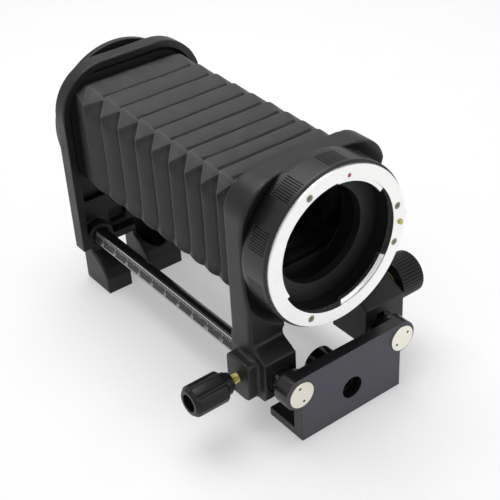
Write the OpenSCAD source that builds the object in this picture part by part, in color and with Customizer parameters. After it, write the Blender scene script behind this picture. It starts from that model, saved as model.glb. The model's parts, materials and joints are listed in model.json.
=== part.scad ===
// Macro bellows unit: a lens standard that slides on two rails towards a
// camera standard, with a pleated bellows between them.
// X is across the rails, Y runs along them from the lens to the camera, Z is up.
// The origin is the mouth of the tripod thread, in the underside of the foot.

/* [Layout] */
// Height of the lens axis above the table
axis_h = 75; // [72:0.5:90]
// Height of the rail centre lines above the table
rail_h = 24; // [23:0.5:26]
// Distance between the rail centre lines
rail_spacing = 51.2; // [50:0.1:53]
// Front plane of the lens mount ring
lens_y = -5; // [-5:0.5:20]
// Front plane of the camera standard
cam_y = 130; // [127:0.5:158]

/* [Rails] */
// Diameter of the rails
rail_d = 8; // [7.6:0.1:8.4]
// Depth of the scale flat on the left rail
scale_flat_depth = 0.7; // [0.3:0.1:1]
// Direction that the scale flat faces, from +X towards +Z
scale_flat_angle = 157; // [120:1:180]
// Diameter of the tapped holes in the rail ends
rail_tap_d = 3.2; // [2.5:0.1:4]
// Diameter of the end caps
cap_d = 11.2; // [10:0.1:12.5]
// Thickness of the end caps
cap_t = 0.8; // [0.6:0.1:1.5]
// Diameter of the two pin holes in each cap
cap_pin_d = 1.1; // [0.6:0.1:1.6]
// Distance of the pin holes from the middle of the cap
cap_pin_r = 3.4; // [2.8:0.1:4]
// Length of the stems of the caps and of the rear rail screws
rail_stem_l = 7; // [5:0.5:9]

/* [End plate] */
// Thickness of the end plate
plate_t = 5; // [4:0.5:7]
// Width of the end plate below the rails
plate_w = 51; // [44:0.5:51]
// Front face of the end plate
plate_y = -12.3; // [-13:0.1:-12]
// Radius of the bosses round the rails
plate_boss_r = 7.1; // [6.5:0.1:7.5]
// Length of the sleeves behind the plate
sleeve_l = 2.3; // [1.5:0.1:2.5]
// Depth of the foot, from the plate's front face
foot_depth = 20; // [18:0.5:24]
// Thickness of the foot
foot_t = 4; // [3:0.1:4.5]
// Diameter of the thread through the end plate
socket_d = 9.5; // [8:0.1:10.5]
// Height of that thread above the table
socket_h = 12.7; // [12.7:0.1:15]
// Outer diameter of the bush behind the plate
socket_bush_d = 14.8; // [13:0.1:15]
// Length of the bush behind the plate
socket_bush_l = 15.6; // [10:0.1:18]
// Diameter of the tripod thread in the foot
tripod_d = 6.35; // [5:0.05:7]
// Outer diameter of the tripod bush
tripod_bush_d = 12; // [10:0.5:14]
// Height of the tripod bush
tripod_bush_h = 5; // [4:0.1:5]

/* [Lens standard] */
// Width of the lens standard
std_w = 66.8; // [64:0.2:70]
// Height of the lens standard above the lens axis
std_top = 30.5; // [29:0.5:34]
// Radius of its top corners
std_corner_r = 13; // [8:0.5:16]
// Thickness of the lens standard
lens_std_t = 12; // [12:0.5:14]
// Distance from the ring's front plane to the standard
lens_std_back = 12; // [12:0.5:14]
// Width of the gap between the legs
leg_gap = 36; // [34:0.5:37]
// Height of the top of that gap above the table
arch_h = 43; // [41:0.5:45]
// Underside of the rail blocks above the table
block_bottom = 15.5; // [14:0.1:16]
// Front face of the rail blocks, ahead of the standard
block_reach = 7.5; // [6.5:0.1:7.5]
// Distance of the left block's outer face from the middle
left_block_x = 33; // [33:0.1:33.4]
// Distance of the right block's outer face from the middle
right_block_x = 38; // [37:0.1:40]
// Height of the clamp boss on the left block
clamp_boss_h = 17.3; // [14:0.1:18]
// Length of the clamp boss along the rails
clamp_boss_l = 13.8; // [11:0.1:14]
// How far the clamp boss stands out
clamp_boss_out = 5; // [3:0.1:6]
// Width of the dished seat round the barrel
dish_w = 4.5; // [3:0.1:6]
// Depth of the dished seat
dish_depth = 2.5; // [1:0.1:3]
// Wall of the rail bushes
bush_wall = 1.4; // [1.3:0.1:1.6]

/* [Lens mount] */
// Inner diameter of the mount ring
ring_in_d = 54; // [52:0.1:56]
// Width of the mount ring's face
ring_w = 5.5; // [5:0.1:6]
// Thickness of the mount ring's face
ring_t = 1.5; // [1.2:0.1:2]
// How far the bayonet lugs reach inwards
lug_reach = 1.6; // [0.8:0.1:2]
// Thickness of the bayonet lugs
lug_t = 1.6; // [1:0.1:2]
// How far the barrel stands out beyond the ring
barrel_over = 1; // [0.5:0.1:1.2]
// Wall of the barrel
barrel_wall = 5.5; // [5.2:0.1:5.6]
// Number of groups of ribs round the barrel
rib_groups = 10; // [6:1:12]
// Grooves in each group
rib_count = 9; // [5:1:10]
// Angle from one groove to the next
rib_pitch = 1.8; // [1.5:0.1:2]
// Depth of the grooves
rib_depth = 0.4; // [0.2:0.1:0.8]
// Diameter of the opening in the baffle
baffle_d = 40; // [34:0.5:44]
// Distance of the baffle behind the ring's front plane
baffle_back = 10.6; // [10:0.1:11]
// Thickness of the baffle
baffle_t = 1.4; // [1:0.1:1.6]
// Distance of the mount screws from the ring's inner edge
mount_screw_in = 2.3; // [2:0.1:3]
// Diameter of the mount screws' heads
mount_screw_d = 2.8; // [2:0.1:3.2]
// Diameter of the index dot
dot_d = 1.6; // [1:0.1:2.5]

/* [Bellows] */
// Half width of the pleat ridges
ridge_x = 29; // [27:0.1:29.2]
// Half height of the pleat ridges
ridge_z = 25; // [24:0.1:25.5]
// Length of the ridge's corner cut along X
ridge_cut_x = 5.3; // [2:0.1:6]
// Length of the ridge's corner cut along Z
ridge_cut_z = 7.5; // [4:0.1:12]
// Depth of the pleats
pleat_depth = 3; // [2:0.1:5]
// Number of ridges
pleats = 10; // [8:1:12]
// How far each valley lies behind the ridge ahead of it, as a share of the pleat
valley_lean = 0.18; // [0.12:0.01:0.5]
// How far the folds of the side panels lie ahead of those on top and below
side_fold_lead = 4; // [0:0.1:4.5]
// How much shorter the first pleat is than the mean pleat, as a share
pleat_taper = 0.26; // [0:0.01:0.4]
// Thickness of the bellows cloth
cloth_t = 0.7; // [0.5:0.1:1.2]
// Thickness of the frames that hold the bellows
frame_t = 1.2; // [1:0.1:1.6]
// Overlap of the frames round the bellows' mouths
frame_lip = 1.4; // [1:0.1:1.8]
// Radius of the frames' corners
frame_corner_r = 12; // [11:0.1:13]

/* [Camera standard] */
// Width of the camera standard
cam_std_w = 71; // [69:0.2:73]
// Height of the camera standard above the lens axis
cam_std_top = 32.2; // [31.5:0.1:33]
// Radius of its top corners
cam_corner_r = 22; // [18:0.5:22.5]
// Depth of the camera standard
cam_std_t = 10.5; // [9.5:0.5:12]
// Width and depth of the bevel round its back
cam_bevel = 3.5; // [2:0.1:3.8]
// Wall of its rim
rim_wall = 3.5; // [3:0.1:4]
// Depth of the recess inside the rim
recess_depth = 5.5; // [5:0.1:6]
// Underside of the body above the table
cam_std_bottom = 19.5; // [18:0.1:19.8]
// Width of each foot
foot_w = 12.5; // [10:0.1:14]
// Distance of the outer feet from the standard's side
foot_inset = 4.1; // [3:0.1:6]
// Width of the middle foot
mid_foot_w = 18; // [14:0.5:20]
// How far the feet stand out in front of the standard
foot_reach = 11; // [9:0.5:14]
// Height of the feet's upright front
foot_front_h = 7.5; // [5:0.1:8]
// Radius of the flange behind it
flange_r = 33.4; // [33:0.1:35]
// Thickness of that flange
flange_t = 2.9; // [2.5:0.1:4]
// Radius of the light opening to the camera
throat_r = 22; // [20:0.5:23]
// Radius of the camera bayonet's tube
cam_tube_r = 25.4; // [25:0.1:26]
// Radius over the camera bayonet's lugs
cam_lug_r = 26.9; // [26.4:0.1:27]
// Width of the camera bayonet's seat plate outside the tube
cam_seat_w = 5.6; // [5:0.1:6]
// Thickness of that plate
cam_seat_t = 1.2; // [1:0.1:1.6]
// Length of the camera bayonet's tube behind the flange
cam_tube_l = 6; // [5.6:0.1:7]
// Diameter of the flange screws' heads
flange_screw_d = 2.8; // [2:0.1:3]

/* [Focus drive] */
// Size of the gear teeth: pitch diameter over tooth count
gear_module = 0.6; // [0.5:0.05:0.6]
// Teeth of the pinion
pinion_teeth = 15; // [14:1:15]
// Height of the rack's tooth tips above the rail's centre line
rack_tip_h = 4.9; // [4.8:0.1:5]
// Width of the rack
rack_w = 3; // [2.4:0.1:3.2]
// Height of the rack from the floor of its groove to the tooth tips
rack_full_h = 2.9; // [2.6:0.1:3.2]
// Length of the rack
rack_l = 100; // [95:1:104]
// How far ahead of the pinion's axis the rack starts
rack_lead = 8; // [7.5:0.5:8.5]
// Width of the pinion
pinion_w = 5; // [4:0.1:5.5]
// Distance of the pinion's axis behind the ring's front plane
pinion_back = 15; // [14.5:0.1:15.5]
// Diameter of the pinion shaft
shaft_d = 4; // [3.5:0.1:4.4]
// Diameter of the focus knob
focus_d = 18.2; // [16:0.1:18.6]
// Length of the focus knob
focus_l = 12; // [10:0.5:14]
// Number of ribs round the focus knob
focus_ribs = 40; // [24:1:48]

/* [Clamp] */
// Distance of the clamp's axis behind the ring's front plane
clamp_back = 16; // [15.5:0.1:16.5]
// Diameter of the clamp screw
clamp_screw_d = 4; // [3:0.1:4.5]
// Bare length of the screw between the boss and the knob
clamp_gap = 3.5; // [2:0.1:6]
// Diameter of the knob
clamp_d = 13; // [11:0.1:13.4]
// Length of the knob, without its collar
clamp_l = 15; // [12:0.5:18]
// Length of the knob's collar
clamp_collar_l = 4; // [3:0.1:6]
// Number of broad lobes round the knob
clamp_lobes = 8; // [6:1:10]
// Diameter of the hollow in the knob's end
clamp_hollow_d = 7.2; // [5:0.1:8]
// Depth of that hollow
clamp_hollow_l = 5; // [2:0.5:6]

/* [Lens release] */
// Diameter of the release button
button_d = 4.8; // [4:0.1:5]
// Length of the release button
button_l = 5; // [4:0.5:6]
// Diameter of the locking pin
pin_d = 2; // [1.6:0.1:2.2]
// How far the locking pin stands out of the ring
pin_out = 1.2; // [0.8:0.1:1.5]
// Travel of the button
press = 1.8; // [1:0.1:2]

/* [Fits] */
// Radial clearance of parts that turn or slide in each other
run_gap = 0.05; // [0.03:0.01:0.08]
// Radial clearance of parts that are fixed in each other
fixed_gap = 0.02; // [0.01:0.01:0.05]
// Clear space between parts that pass each other
pass_gap = 0.4; // [0.3:0.05:0.5]

/* [Hidden] */
$fn = 96;
eps = 0.5;

rail_r = rail_d / 2;
rail_x = rail_spacing / 2;
plate_back = plate_y + plate_t;
sleeve_end = plate_back + sleeve_l;
cam_back = cam_y + cam_std_t;
cam_seat_r = cam_tube_r + cam_seat_w;
cam_seat_y = cam_y + cam_std_t + flange_t - cam_seat_t + 0.4;
flange_screw_r = (cam_tube_r + cam_seat_r) / 2 + 0.2;
cam_lug_front = cam_tube_l - 2;
cam_lug_t = 1.6;
rear_head_r = 2.9;
rear_head_t = 1.8;
flange_y = cam_back + flange_t;
recess_y = cam_y + recess_depth;
rail_front = plate_y + pass_gap;
rail_end = cam_back - 2.5;
rail_stem_r = rail_tap_d / 2 - fixed_gap;
// Turn of the pin holes in the left and the right cap
cap_pin_angles = [-75, 33];
rear_seat_y = cam_back - rear_head_t - 0.1;

std_x = std_w / 2;
std_top_h = axis_h + std_top;
cam_std_x = cam_std_w / 2;
cam_top_h = axis_h + cam_std_top;
lens_std_y = lens_y + lens_std_back;
lens_std_end = lens_std_y + lens_std_t;
block_y = lens_std_y - block_reach;
block_end = lens_std_end + 1;
leg_x = leg_gap / 2;
// Radius of the corners at the top of the gap between the legs
arch_r = 5;
// The blocks' tops slope down from the legs to a low front edge
block_front_h = rail_h + 9.6;
block_rise = 5.8;
block_slope_l = 10.3;

barrel_front = lens_y + ring_t;
ring_in_r = ring_in_d / 2;
ring_r = ring_in_r + ring_w;
barrel_r = ring_r + barrel_over;
barrel_in_r = barrel_r - barrel_wall;
dish_floor_r = barrel_r + 0.3;
dish_r = barrel_r + dish_w;
baffle_y = lens_y + baffle_back;
lug_angles = [61, -59, 181];
lug_span = 54;
lug_seat = 0.4;
mount_screw_angles = [117, 11, -20, -118];
dot_angle = 80;
dot_r = ring_in_r + 1.6;
mount_screw_r = ring_in_r + mount_screw_in;
mount_screw_seat = 0.9;
mount_stem_r = 0.8;
mount_stem_l = 3.6;
slot_depth = 0.3;

bush_r = rail_r + run_gap + bush_wall;
pinion_y = lens_y + pinion_back;
pinion_pitch_r = gear_module * pinion_teeth / 2;
rack_pitch_h = rail_h + rack_tip_h - gear_module;
pinion_h = rack_pitch_h + pinion_pitch_r;
tooth_backlash = 0.12;
chamber_r = pinion_pitch_r + gear_module + 0.3;
rack_y = pinion_y - rack_lead;
rack_pitch = PI * gear_module;
rack_groove_h = rail_h + rack_tip_h - rack_full_h;

clamp_y = lens_y + clamp_back;
clamp_face_x = left_block_x + clamp_boss_out;
clamp_screw_r = clamp_screw_d / 2;
pad_t = 1.2;
clamp_collar_x = clamp_face_x + clamp_gap;
clamp_knob_x = clamp_collar_x + clamp_collar_l;

focus_x = right_block_x + 1.5;
button_angle = -4.5;
button_r = barrel_r + 1.1;
pin_r = ring_in_r + 3.5;
pin_angle = -4;

// --- Shapes used more than once ---------------------------------------

// A flat shape in X and Z, made thick along Y
module slab(from, to) {
    translate([0, to, 0]) rotate([90, 0, 0]) linear_extrude(to - from) children();
}

// A flat shape in Y and Z, made thick along X
module side(from, to) {
    translate([from, 0, 0]) rotate([90, 0, 90]) linear_extrude(to - from) children();
}

// A round bar along Y, round (x, z)
module bar_y(x, z, from, to, r) {
    translate([x, to, z]) rotate([90, 0, 0]) cylinder(h = to - from, r = r);
}

// A round bar along X, round (y, z)
module bar_x(y, z, from, to, r) {
    translate([from, y, z]) rotate([0, 90, 0]) cylinder(h = to - from, r = r);
}

// Whatever stands at a radius and an angle round the lens axis
module round_axis(r, angle) {
    translate([r * cos(angle), 0, axis_h + r * sin(angle)]) children();
}

// The outline of a standard: upright sides and rounded top corners
module standard_outline(w, top, r, bottom) {
    translate([-w, bottom]) square([2 * w, top - r - bottom]);
    translate([r - w, bottom]) square([2 * (w - r), top - bottom]);
    for (s = [-1, 1]) translate([s * (w - r), top - r]) circle(r);
}

// A rectangle with rounded corners, centred
module soft_rectangle(w, h, r) {
    square([w - 2 * r, h], center = true);
    square([w, h - 2 * r], center = true);
    for (x = [-1, 1], y = [-1, 1]) translate([x * (w / 2 - r), y * (h / 2 - r)]) circle(r, $fn = 32);
}

// The cross cut into a screw's head, centred on the head's face
module cross_slot(length, width) {
    cube([length, 2 * slot_depth, width], center = true);
    cube([width, 2 * slot_depth, length], center = true);
}

// A sector of a ring, from angle a to angle b
module arc_band(r_in, r_out, a, b) {
    steps = 24;
    outer = [for (i = [0:steps]) let (t = a + (b - a) * i / steps) r_out * [cos(t), sin(t)]];
    inner = [for (i = [steps:-1:0]) let (t = a + (b - a) * i / steps) r_in * [cos(t), sin(t)]];
    polygon(concat(outer, inner));
}

// --- Rails --------------------------------------------------------------

module rail_body(x) {
    difference() {
        bar_y(x, rail_h, rail_front, rail_end, rail_r);
        bar_y(x, rail_h, rail_front - eps, rail_front + rail_stem_l + 1, rail_tap_d / 2);
        bar_y(x, rail_h, rail_end - rail_stem_l - 1, rail_end + eps, rail_tap_d / 2);
        children();
    }
}

module rail_left() {
    color([0.09, 0.09, 0.10]) rail_body(-rail_x)
        translate([-rail_x, 0, rail_h]) rotate([0, -scale_flat_angle, 0])
            translate([rail_r - scale_flat_depth, sleeve_end, -rail_r])
                cube([rail_r, cam_y - sleeve_end, rail_d]);
}

module rail_right() {
    color([0.09, 0.09, 0.10]) rail_body(rail_x)
        translate([rail_x - rack_w / 2, rack_y, rack_groove_h])
            cube([rack_w, rack_l, rail_r * 2]);
}

// Rack teeth: straight-sided, 20 degrees, with a gap centred under the pinion
module rack() {
    w = gear_module * tan(20);
    half = rack_pitch / 4 - tooth_backlash / 4;
    root = rack_pitch_h - 1.25 * gear_module;
    tip = rail_h + rack_tip_h;
    first = ceil((rack_y + rack_pitch - pinion_y) / rack_pitch - 0.5);
    last = floor((rack_y + rack_l - rack_pitch - pinion_y) / rack_pitch - 0.5);
    teeth = [for (i = [first:last], k = [0:3])
        let (y = pinion_y + (i + 0.5) * rack_pitch)
        [y + [-half - 1.25 * w, -half + w, half - w, half + 1.25 * w][k],
         [root, tip, tip, root][k]]];
    base = [[rack_y + rack_l, root], [rack_y + rack_l, rack_groove_h], [rack_y, rack_groove_h], [rack_y, root]];
    color([0.55, 0.55, 0.53])
        side(rail_x - rack_w / 2 + fixed_gap, rail_x + rack_w / 2 - fixed_gap)
            polygon(concat(teeth, base));
}

module rail_caps() {
    color([0.83, 0.82, 0.76]) for (s = [-1, 1]) {
        pins = s < 0 ? cap_pin_angles[0] : cap_pin_angles[1];
        difference() {
            union() {
                bar_y(s * rail_x, rail_h, plate_y - cap_t, plate_y, cap_d / 2);
                bar_y(s * rail_x, rail_h, plate_y, rail_front + rail_stem_l, rail_stem_r);
            }
            for (h = [0, 180]) bar_y(
                s * rail_x + cap_pin_r * cos(pins + h), rail_h + cap_pin_r * sin(pins + h),
                plate_y - cap_t - eps, plate_y + eps, cap_pin_d / 2);
        }
    }
}

module rail_rear_screws() {
    color([0.20, 0.20, 0.21]) for (s = [-1, 1]) difference() {
        union() {
            bar_y(s * rail_x, rail_h, rail_end - rail_stem_l, rear_seat_y, rail_stem_r);
            bar_y(s * rail_x, rail_h, rear_seat_y, rear_seat_y + rear_head_t, rear_head_r);
        }
        translate([s * rail_x, rear_seat_y + rear_head_t, rail_h])
            cube([1.5 * rear_head_r, 1.4, 0.24 * rear_head_r], center = true);
    }
}

// --- End plate ------------------------------------------------------------

module end_plate() {
    half = plate_w / 2;
    color([0.17, 0.17, 0.18]) difference() {
        union() {
            slab(plate_y, plate_back) {
                translate([-half, 0]) square([plate_w, rail_h]);
                translate([-rail_x, rail_h]) square([rail_spacing, plate_boss_r]);
                for (s = [-1, 1]) translate([s * rail_x, rail_h]) circle(plate_boss_r);
            }
            for (s = [-1, 1]) bar_y(s * rail_x, rail_h, plate_back - eps, sleeve_end, plate_boss_r);
            translate([-half, plate_y, 0]) cube([plate_w, foot_depth, foot_t]);
        }
        for (s = [-1, 1]) bar_y(s * rail_x, rail_h, plate_y + pass_gap, sleeve_end + eps, rail_r + fixed_gap);
        for (s = [-1, 1]) bar_y(s * rail_x, rail_h, plate_y - eps, plate_back, rail_tap_d / 2 + fixed_gap);
        bar_y(0, socket_h, plate_y - eps, plate_back + eps, socket_d / 2);
        translate([0, 0, -eps]) cylinder(h = foot_t + 2 * eps, r = tripod_bush_d / 2 + fixed_gap);
    }
}

module socket_bush() {
    color([0.10, 0.10, 0.11]) difference() {
        bar_y(0, socket_h, plate_back, plate_back + socket_bush_l, socket_bush_d / 2);
        bar_y(0, socket_h, plate_back - eps, plate_back + socket_bush_l + eps, socket_d / 2);
    }
}

module tripod_bush() {
    color([0.62, 0.60, 0.55]) difference() {
        cylinder(h = tripod_bush_h, r = tripod_bush_d / 2);
        translate([0, 0, -eps]) cylinder(h = tripod_bush_h + 2 * eps, r = tripod_d / 2);
    }
}

// --- Camera standard -----------------------------------------------------

// Side view of a foot, from the table up into the standard
module foot_profile() {
    front = cam_y - foot_reach;
    back = cam_back - 2;
    rise = cam_std_bottom - foot_front_h;
    polygon([
        [front, 0], [front, foot_front_h], [front + 2.5, foot_front_h + 0.32 * rise],
        [front + 6, foot_front_h + 0.62 * rise], [cam_y + 0.5, cam_std_bottom - 1.5],
        [cam_y + 0.5, cam_std_bottom + 3], [back, cam_std_bottom + 3], [back, 0]
    ]);
}

// The camera standard's outline, drawn in by an inset at its sides and top
module camera_outline(inset) {
    standard_outline(cam_std_x - inset, cam_top_h - inset, cam_corner_r - inset, cam_std_bottom);
}

module rear_standard() {
    foot_x = cam_std_x - foot_inset - foot_w;
    floor_w = 2 * (cam_std_x - rim_wall);
    color([0.13, 0.13, 0.14]) difference() {
        union() {
            difference() {
                hull() {
                    slab(cam_y, cam_back - cam_bevel) camera_outline(0);
                    slab(cam_y, cam_back) camera_outline(cam_bevel);
                }
                slab(cam_y - eps, recess_y) intersection() {
                    camera_outline(rim_wall);
                    translate([-floor_w / 2, cam_std_bottom + rim_wall]) square([floor_w, 200]);
                }
                // Pockets in the panel below the bellows
                for (s = [-1, 1]) {
                    translate([s * 23.2, 0, 45.2]) slab(recess_y - eps, recess_y + 3)
                        soft_rectangle(11.5, 8.4, 1);
                    translate([s * 13.2, 0, 28.5]) slab(recess_y - eps, recess_y + 3)
                        soft_rectangle(8.5, 7, 1);
                    translate([0, 0, 41.4]) slab(recess_y - eps, recess_y + 2.5)
                        translate([s * 8.6, 0]) soft_rectangle(13, 12, 1.5);
                }
            }
            for (s = [-1, 1]) bar_y(s * rail_x, rail_h, cam_y, cam_back - 1, plate_boss_r - 0.6);
            for (s = [-1, 1]) side(s * (foot_x + foot_w / 2) - foot_w / 2, s * (foot_x + foot_w / 2) + foot_w / 2)
                foot_profile();
            side(-mid_foot_w / 2, mid_foot_w / 2) foot_profile();
        }
        // Well in the middle foot
        translate([0, cam_y - foot_reach + 10.5, 5]) cylinder(h = 20, r = 7.2);
        // Light opening, stepped for the flange's spigot
        bar_y(0, axis_h, recess_y - eps, cam_back + eps, throat_r + 3);
        for (s = [-1, 1]) {
            bar_y(s * rail_x, rail_h, cam_y - 8, rail_end, rail_r + fixed_gap);
            bar_y(s * rail_x, rail_h, rail_end - eps, cam_back + eps, rail_tap_d / 2 + fixed_gap);
            bar_y(s * rail_x, rail_h, rear_seat_y, cam_back + eps, rear_head_r + 0.1);
        }
    }
}

// A flat frame round the mouth of the bellows
module bellows_frame(from, to) {
    slab(from, to) translate([0, axis_h]) difference() {
        soft_rectangle(2 * ridge_x + frame_lip, 2 * ridge_z + frame_lip, frame_corner_r);
        soft_rectangle(2 * (ridge_x - pleat_depth - 3), 2 * (ridge_z - pleat_depth - 3), 2);
    }
}

module rear_bellows_frame() {
    color([0.06, 0.06, 0.06]) bellows_frame(recess_y - frame_t, recess_y);
}

module camera_flange() {
    color([0.08, 0.08, 0.09]) difference() {
        union() {
            bar_y(0, axis_h, cam_back, flange_y, flange_r);
            bar_y(0, axis_h, recess_y + 0.5, cam_back + eps, throat_r + 3 - fixed_gap);
        }
        bar_y(0, axis_h, recess_y, flange_y + eps, throat_r);
        bar_y(0, axis_h, cam_seat_y, flange_y + eps, cam_seat_r + fixed_gap);
    }
}

module camera_bayonet() {
    color([0.78, 0.78, 0.77]) difference() {
        union() {
            bar_y(0, axis_h, cam_seat_y, cam_seat_y + cam_seat_t, cam_seat_r);
            bar_y(0, axis_h, flange_y, flange_y + cam_tube_l, cam_tube_r);
            for (a = [30, 150, 270]) translate([0, 0, axis_h])
                slab(flange_y + cam_lug_front, flange_y + cam_lug_front + cam_lug_t)
                    arc_band(cam_tube_r - 0.6, cam_lug_r, a - 29, a + 29);
        }
        bar_y(0, axis_h, cam_seat_y - eps, flange_y + cam_tube_l + eps, throat_r + 1);
        for (a = [45:90:315]) round_axis(flange_screw_r, a)
            bar_y(0, 0, cam_seat_y - eps, cam_seat_y + cam_seat_t + eps, flange_screw_d / 2 + fixed_gap);
    }
}

module flange_screws() {
    head_end = cam_seat_y + cam_seat_t - 0.1;
    color([0.72, 0.72, 0.70]) for (a = [45:90:315]) round_axis(flange_screw_r, a) difference() {
        bar_y(0, 0, cam_seat_y, head_end, flange_screw_d / 2);
        translate([0, head_end, 0]) cross_slot(0.64 * flange_screw_d, 0.4);
    }
}

// --- Bellows ----------------------------------------------------------------

// Eight corners of one fold line: half width, half height and the corner cut.
// The four on the sides lie at side_y, the others at y.
function fold_ring(y, side_y, hx, hz, cx, cz) = [
    [hx - cx, y, hz], [-(hx - cx), y, hz], [-hx, side_y, hz - cz], [-hx, side_y, -(hz - cz)],
    [-(hx - cx), y, -hz], [hx - cx, y, -hz], [hx, side_y, -(hz - cz)], [hx, side_y, hz - cz]
];

// Fold line k of n at an even share of the way. The pleats grow steadily longer
// towards the camera.
function even_y(k, n, from, to) =
    let (t = k / n) from + (to - from) * (t - pleat_taper * t * (1 - t));

// Where fold line k lies: even lines are valleys, odd ones ridges. Each valley
// lies close behind the ridge ahead of it, so the pleats overlap like roof tiles.
function fold_y(k, n, from, to) =
    k == 0 || k == n || k % 2 == 1 ? even_y(k, n, from, to)
    : even_y(k - 1, n, from, to) * (1 - valley_lean) + even_y(k + 1, n, from, to) * valley_lean;

module bellows() {
    from = lens_std_end + frame_t;
    to = recess_y - frame_t;
    n = 2 * pleats;
    valley_cut = 0.8;
    skin = function (t) [for (k = [0:n])
        let (ridge = k % 2 == 1, y = fold_y(k, n, from, to), d = (ridge ? 0 : pleat_depth) + t)
        each fold_ring(y, k == 0 || k == n ? y : y - side_fold_lead, ridge_x - d, ridge_z - d,
            ridge ? ridge_cut_x : valley_cut, ridge ? ridge_cut_z : valley_cut)];
    rings = n + 1;
    points = [for (p = concat(skin(0), skin(cloth_t))) p + [0, 0, axis_h]];
    inner = 8 * rings;
    walls = [for (k = [0:n - 1], j = [0:7])
        let (a = 8 * k + j, b = 8 * k + (j + 1) % 8, c = a + 8, d = b + 8)
        each [[a, b, c], [b, d, c], [inner + a, inner + c, inner + b], [inner + b, inner + c, inner + d]]];
    ends = [for (j = [0:7])
        let (b = (j + 1) % 8, last = 8 * n)
        each [[j, inner + j, b], [b, inner + j, inner + b],
              [last + j, last + b, inner + last + j], [last + b, inner + last + b, inner + last + j]]];
    color([0.20, 0.20, 0.20]) polyhedron(points, concat(walls, ends));
}

// --- Lens standard ----------------------------------------------------------

// Side view of a rail block, its top sloping down to the front
module block_profile() {
    polygon([
        [block_y + 1.5, block_bottom], [block_y, block_bottom + 1.5], [block_y, block_front_h],
        [block_y + block_slope_l, block_front_h + block_rise],
        [block_end, block_front_h + block_rise], [block_end, block_bottom]
    ]);
}

module front_standard() {
    lower_leg = block_front_h;
    color([0.14, 0.14, 0.15]) difference() {
        union() {
            slab(lens_std_y, lens_std_end) difference() {
                standard_outline(std_x, std_top_h, std_corner_r, lower_leg);
                translate([-leg_x, lower_leg - eps]) square([leg_gap, arch_h - arch_r - lower_leg + eps]);
                translate([arch_r - leg_x, lower_leg - eps]) square([leg_gap - 2 * arch_r, arch_h - lower_leg + eps]);
                for (s = [-1, 1]) translate([s * (leg_x - arch_r), arch_h - arch_r]) circle(arch_r, $fn = 48);
            }
            side(-left_block_x, -leg_x) block_profile();
            side(leg_x, right_block_x) block_profile();
            translate([-left_block_x - clamp_boss_out, clamp_y - 0.6, rail_h + 0.6])
                side(0, clamp_boss_out + 1) soft_rectangle(clamp_boss_l, clamp_boss_h, 2.5);
        }
        // Light opening behind the barrel, and the recess for the bellows
        bar_y(0, axis_h, lens_std_y - eps, lens_std_end + eps, baffle_d / 2 + 3.2);
        // Dished seat
        translate([0, lens_std_y + dish_depth, axis_h]) rotate([90, 0, 0])
            cylinder(h = 2 * dish_depth, r1 = dish_floor_r, r2 = 2 * dish_r - dish_floor_r);
        // Rail bores, which the rack passes too
        for (s = [-1, 1]) bar_y(s * rail_x, rail_h, block_y - eps, block_end + eps, bush_r + fixed_gap);
        // Pinion chamber, and the seat for the shaft's inner end
        bar_x(pinion_y, pinion_h, rail_x - pinion_w / 2 - 0.5, right_block_x + eps, chamber_r);
        bar_x(pinion_y, pinion_h, rail_x - pinion_w / 2 - 4, rail_x, shaft_d / 2 + run_gap);
        // Clamp screw and pad
        bar_x(clamp_y, rail_h, -clamp_face_x - eps, -rail_x, clamp_screw_r + run_gap);
    }
}

module rail_bushes() {
    left = [[block_y, block_end]];
    right = [[block_y, pinion_y - chamber_r - pass_gap], [pinion_y + chamber_r + pass_gap, block_end]];
    color([0.06, 0.06, 0.06]) difference() {
        union() {
            for (b = left) bar_y(-rail_x, rail_h, b[0], b[1], bush_r);
            for (b = right) bar_y(rail_x, rail_h, b[0], b[1], bush_r);
        }
        for (s = [-1, 1]) bar_y(s * rail_x, rail_h, block_y - eps, block_end + eps, rail_r + run_gap);
        translate([rail_x - rack_w / 2 - pass_gap, block_y - eps, rail_h])
            cube([rack_w + 2 * pass_gap, block_end - block_y + 2 * eps, bush_r + eps]);
        bar_x(clamp_y, rail_h, -rail_x - bush_r - eps, -rail_x, clamp_screw_r + run_gap);
    }
}

module pinion_bush() {
    from = rail_x + pinion_w / 2 + 0.3;
    color([0.55, 0.42, 0.20]) difference() {
        bar_x(pinion_y, pinion_h, from, right_block_x + 0.6, chamber_r - fixed_gap);
        bar_x(pinion_y, pinion_h, from - eps, right_block_x + 1 + eps, shaft_d / 2 + run_gap);
        bar_y(rail_x, rail_h, block_y, block_end, bush_r + 0.1);
    }
}

module front_bellows_frame() {
    color([0.06, 0.06, 0.06]) bellows_frame(lens_std_end, lens_std_end + frame_t);
}

// --- Lens mount ---------------------------------------------------------------

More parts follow.
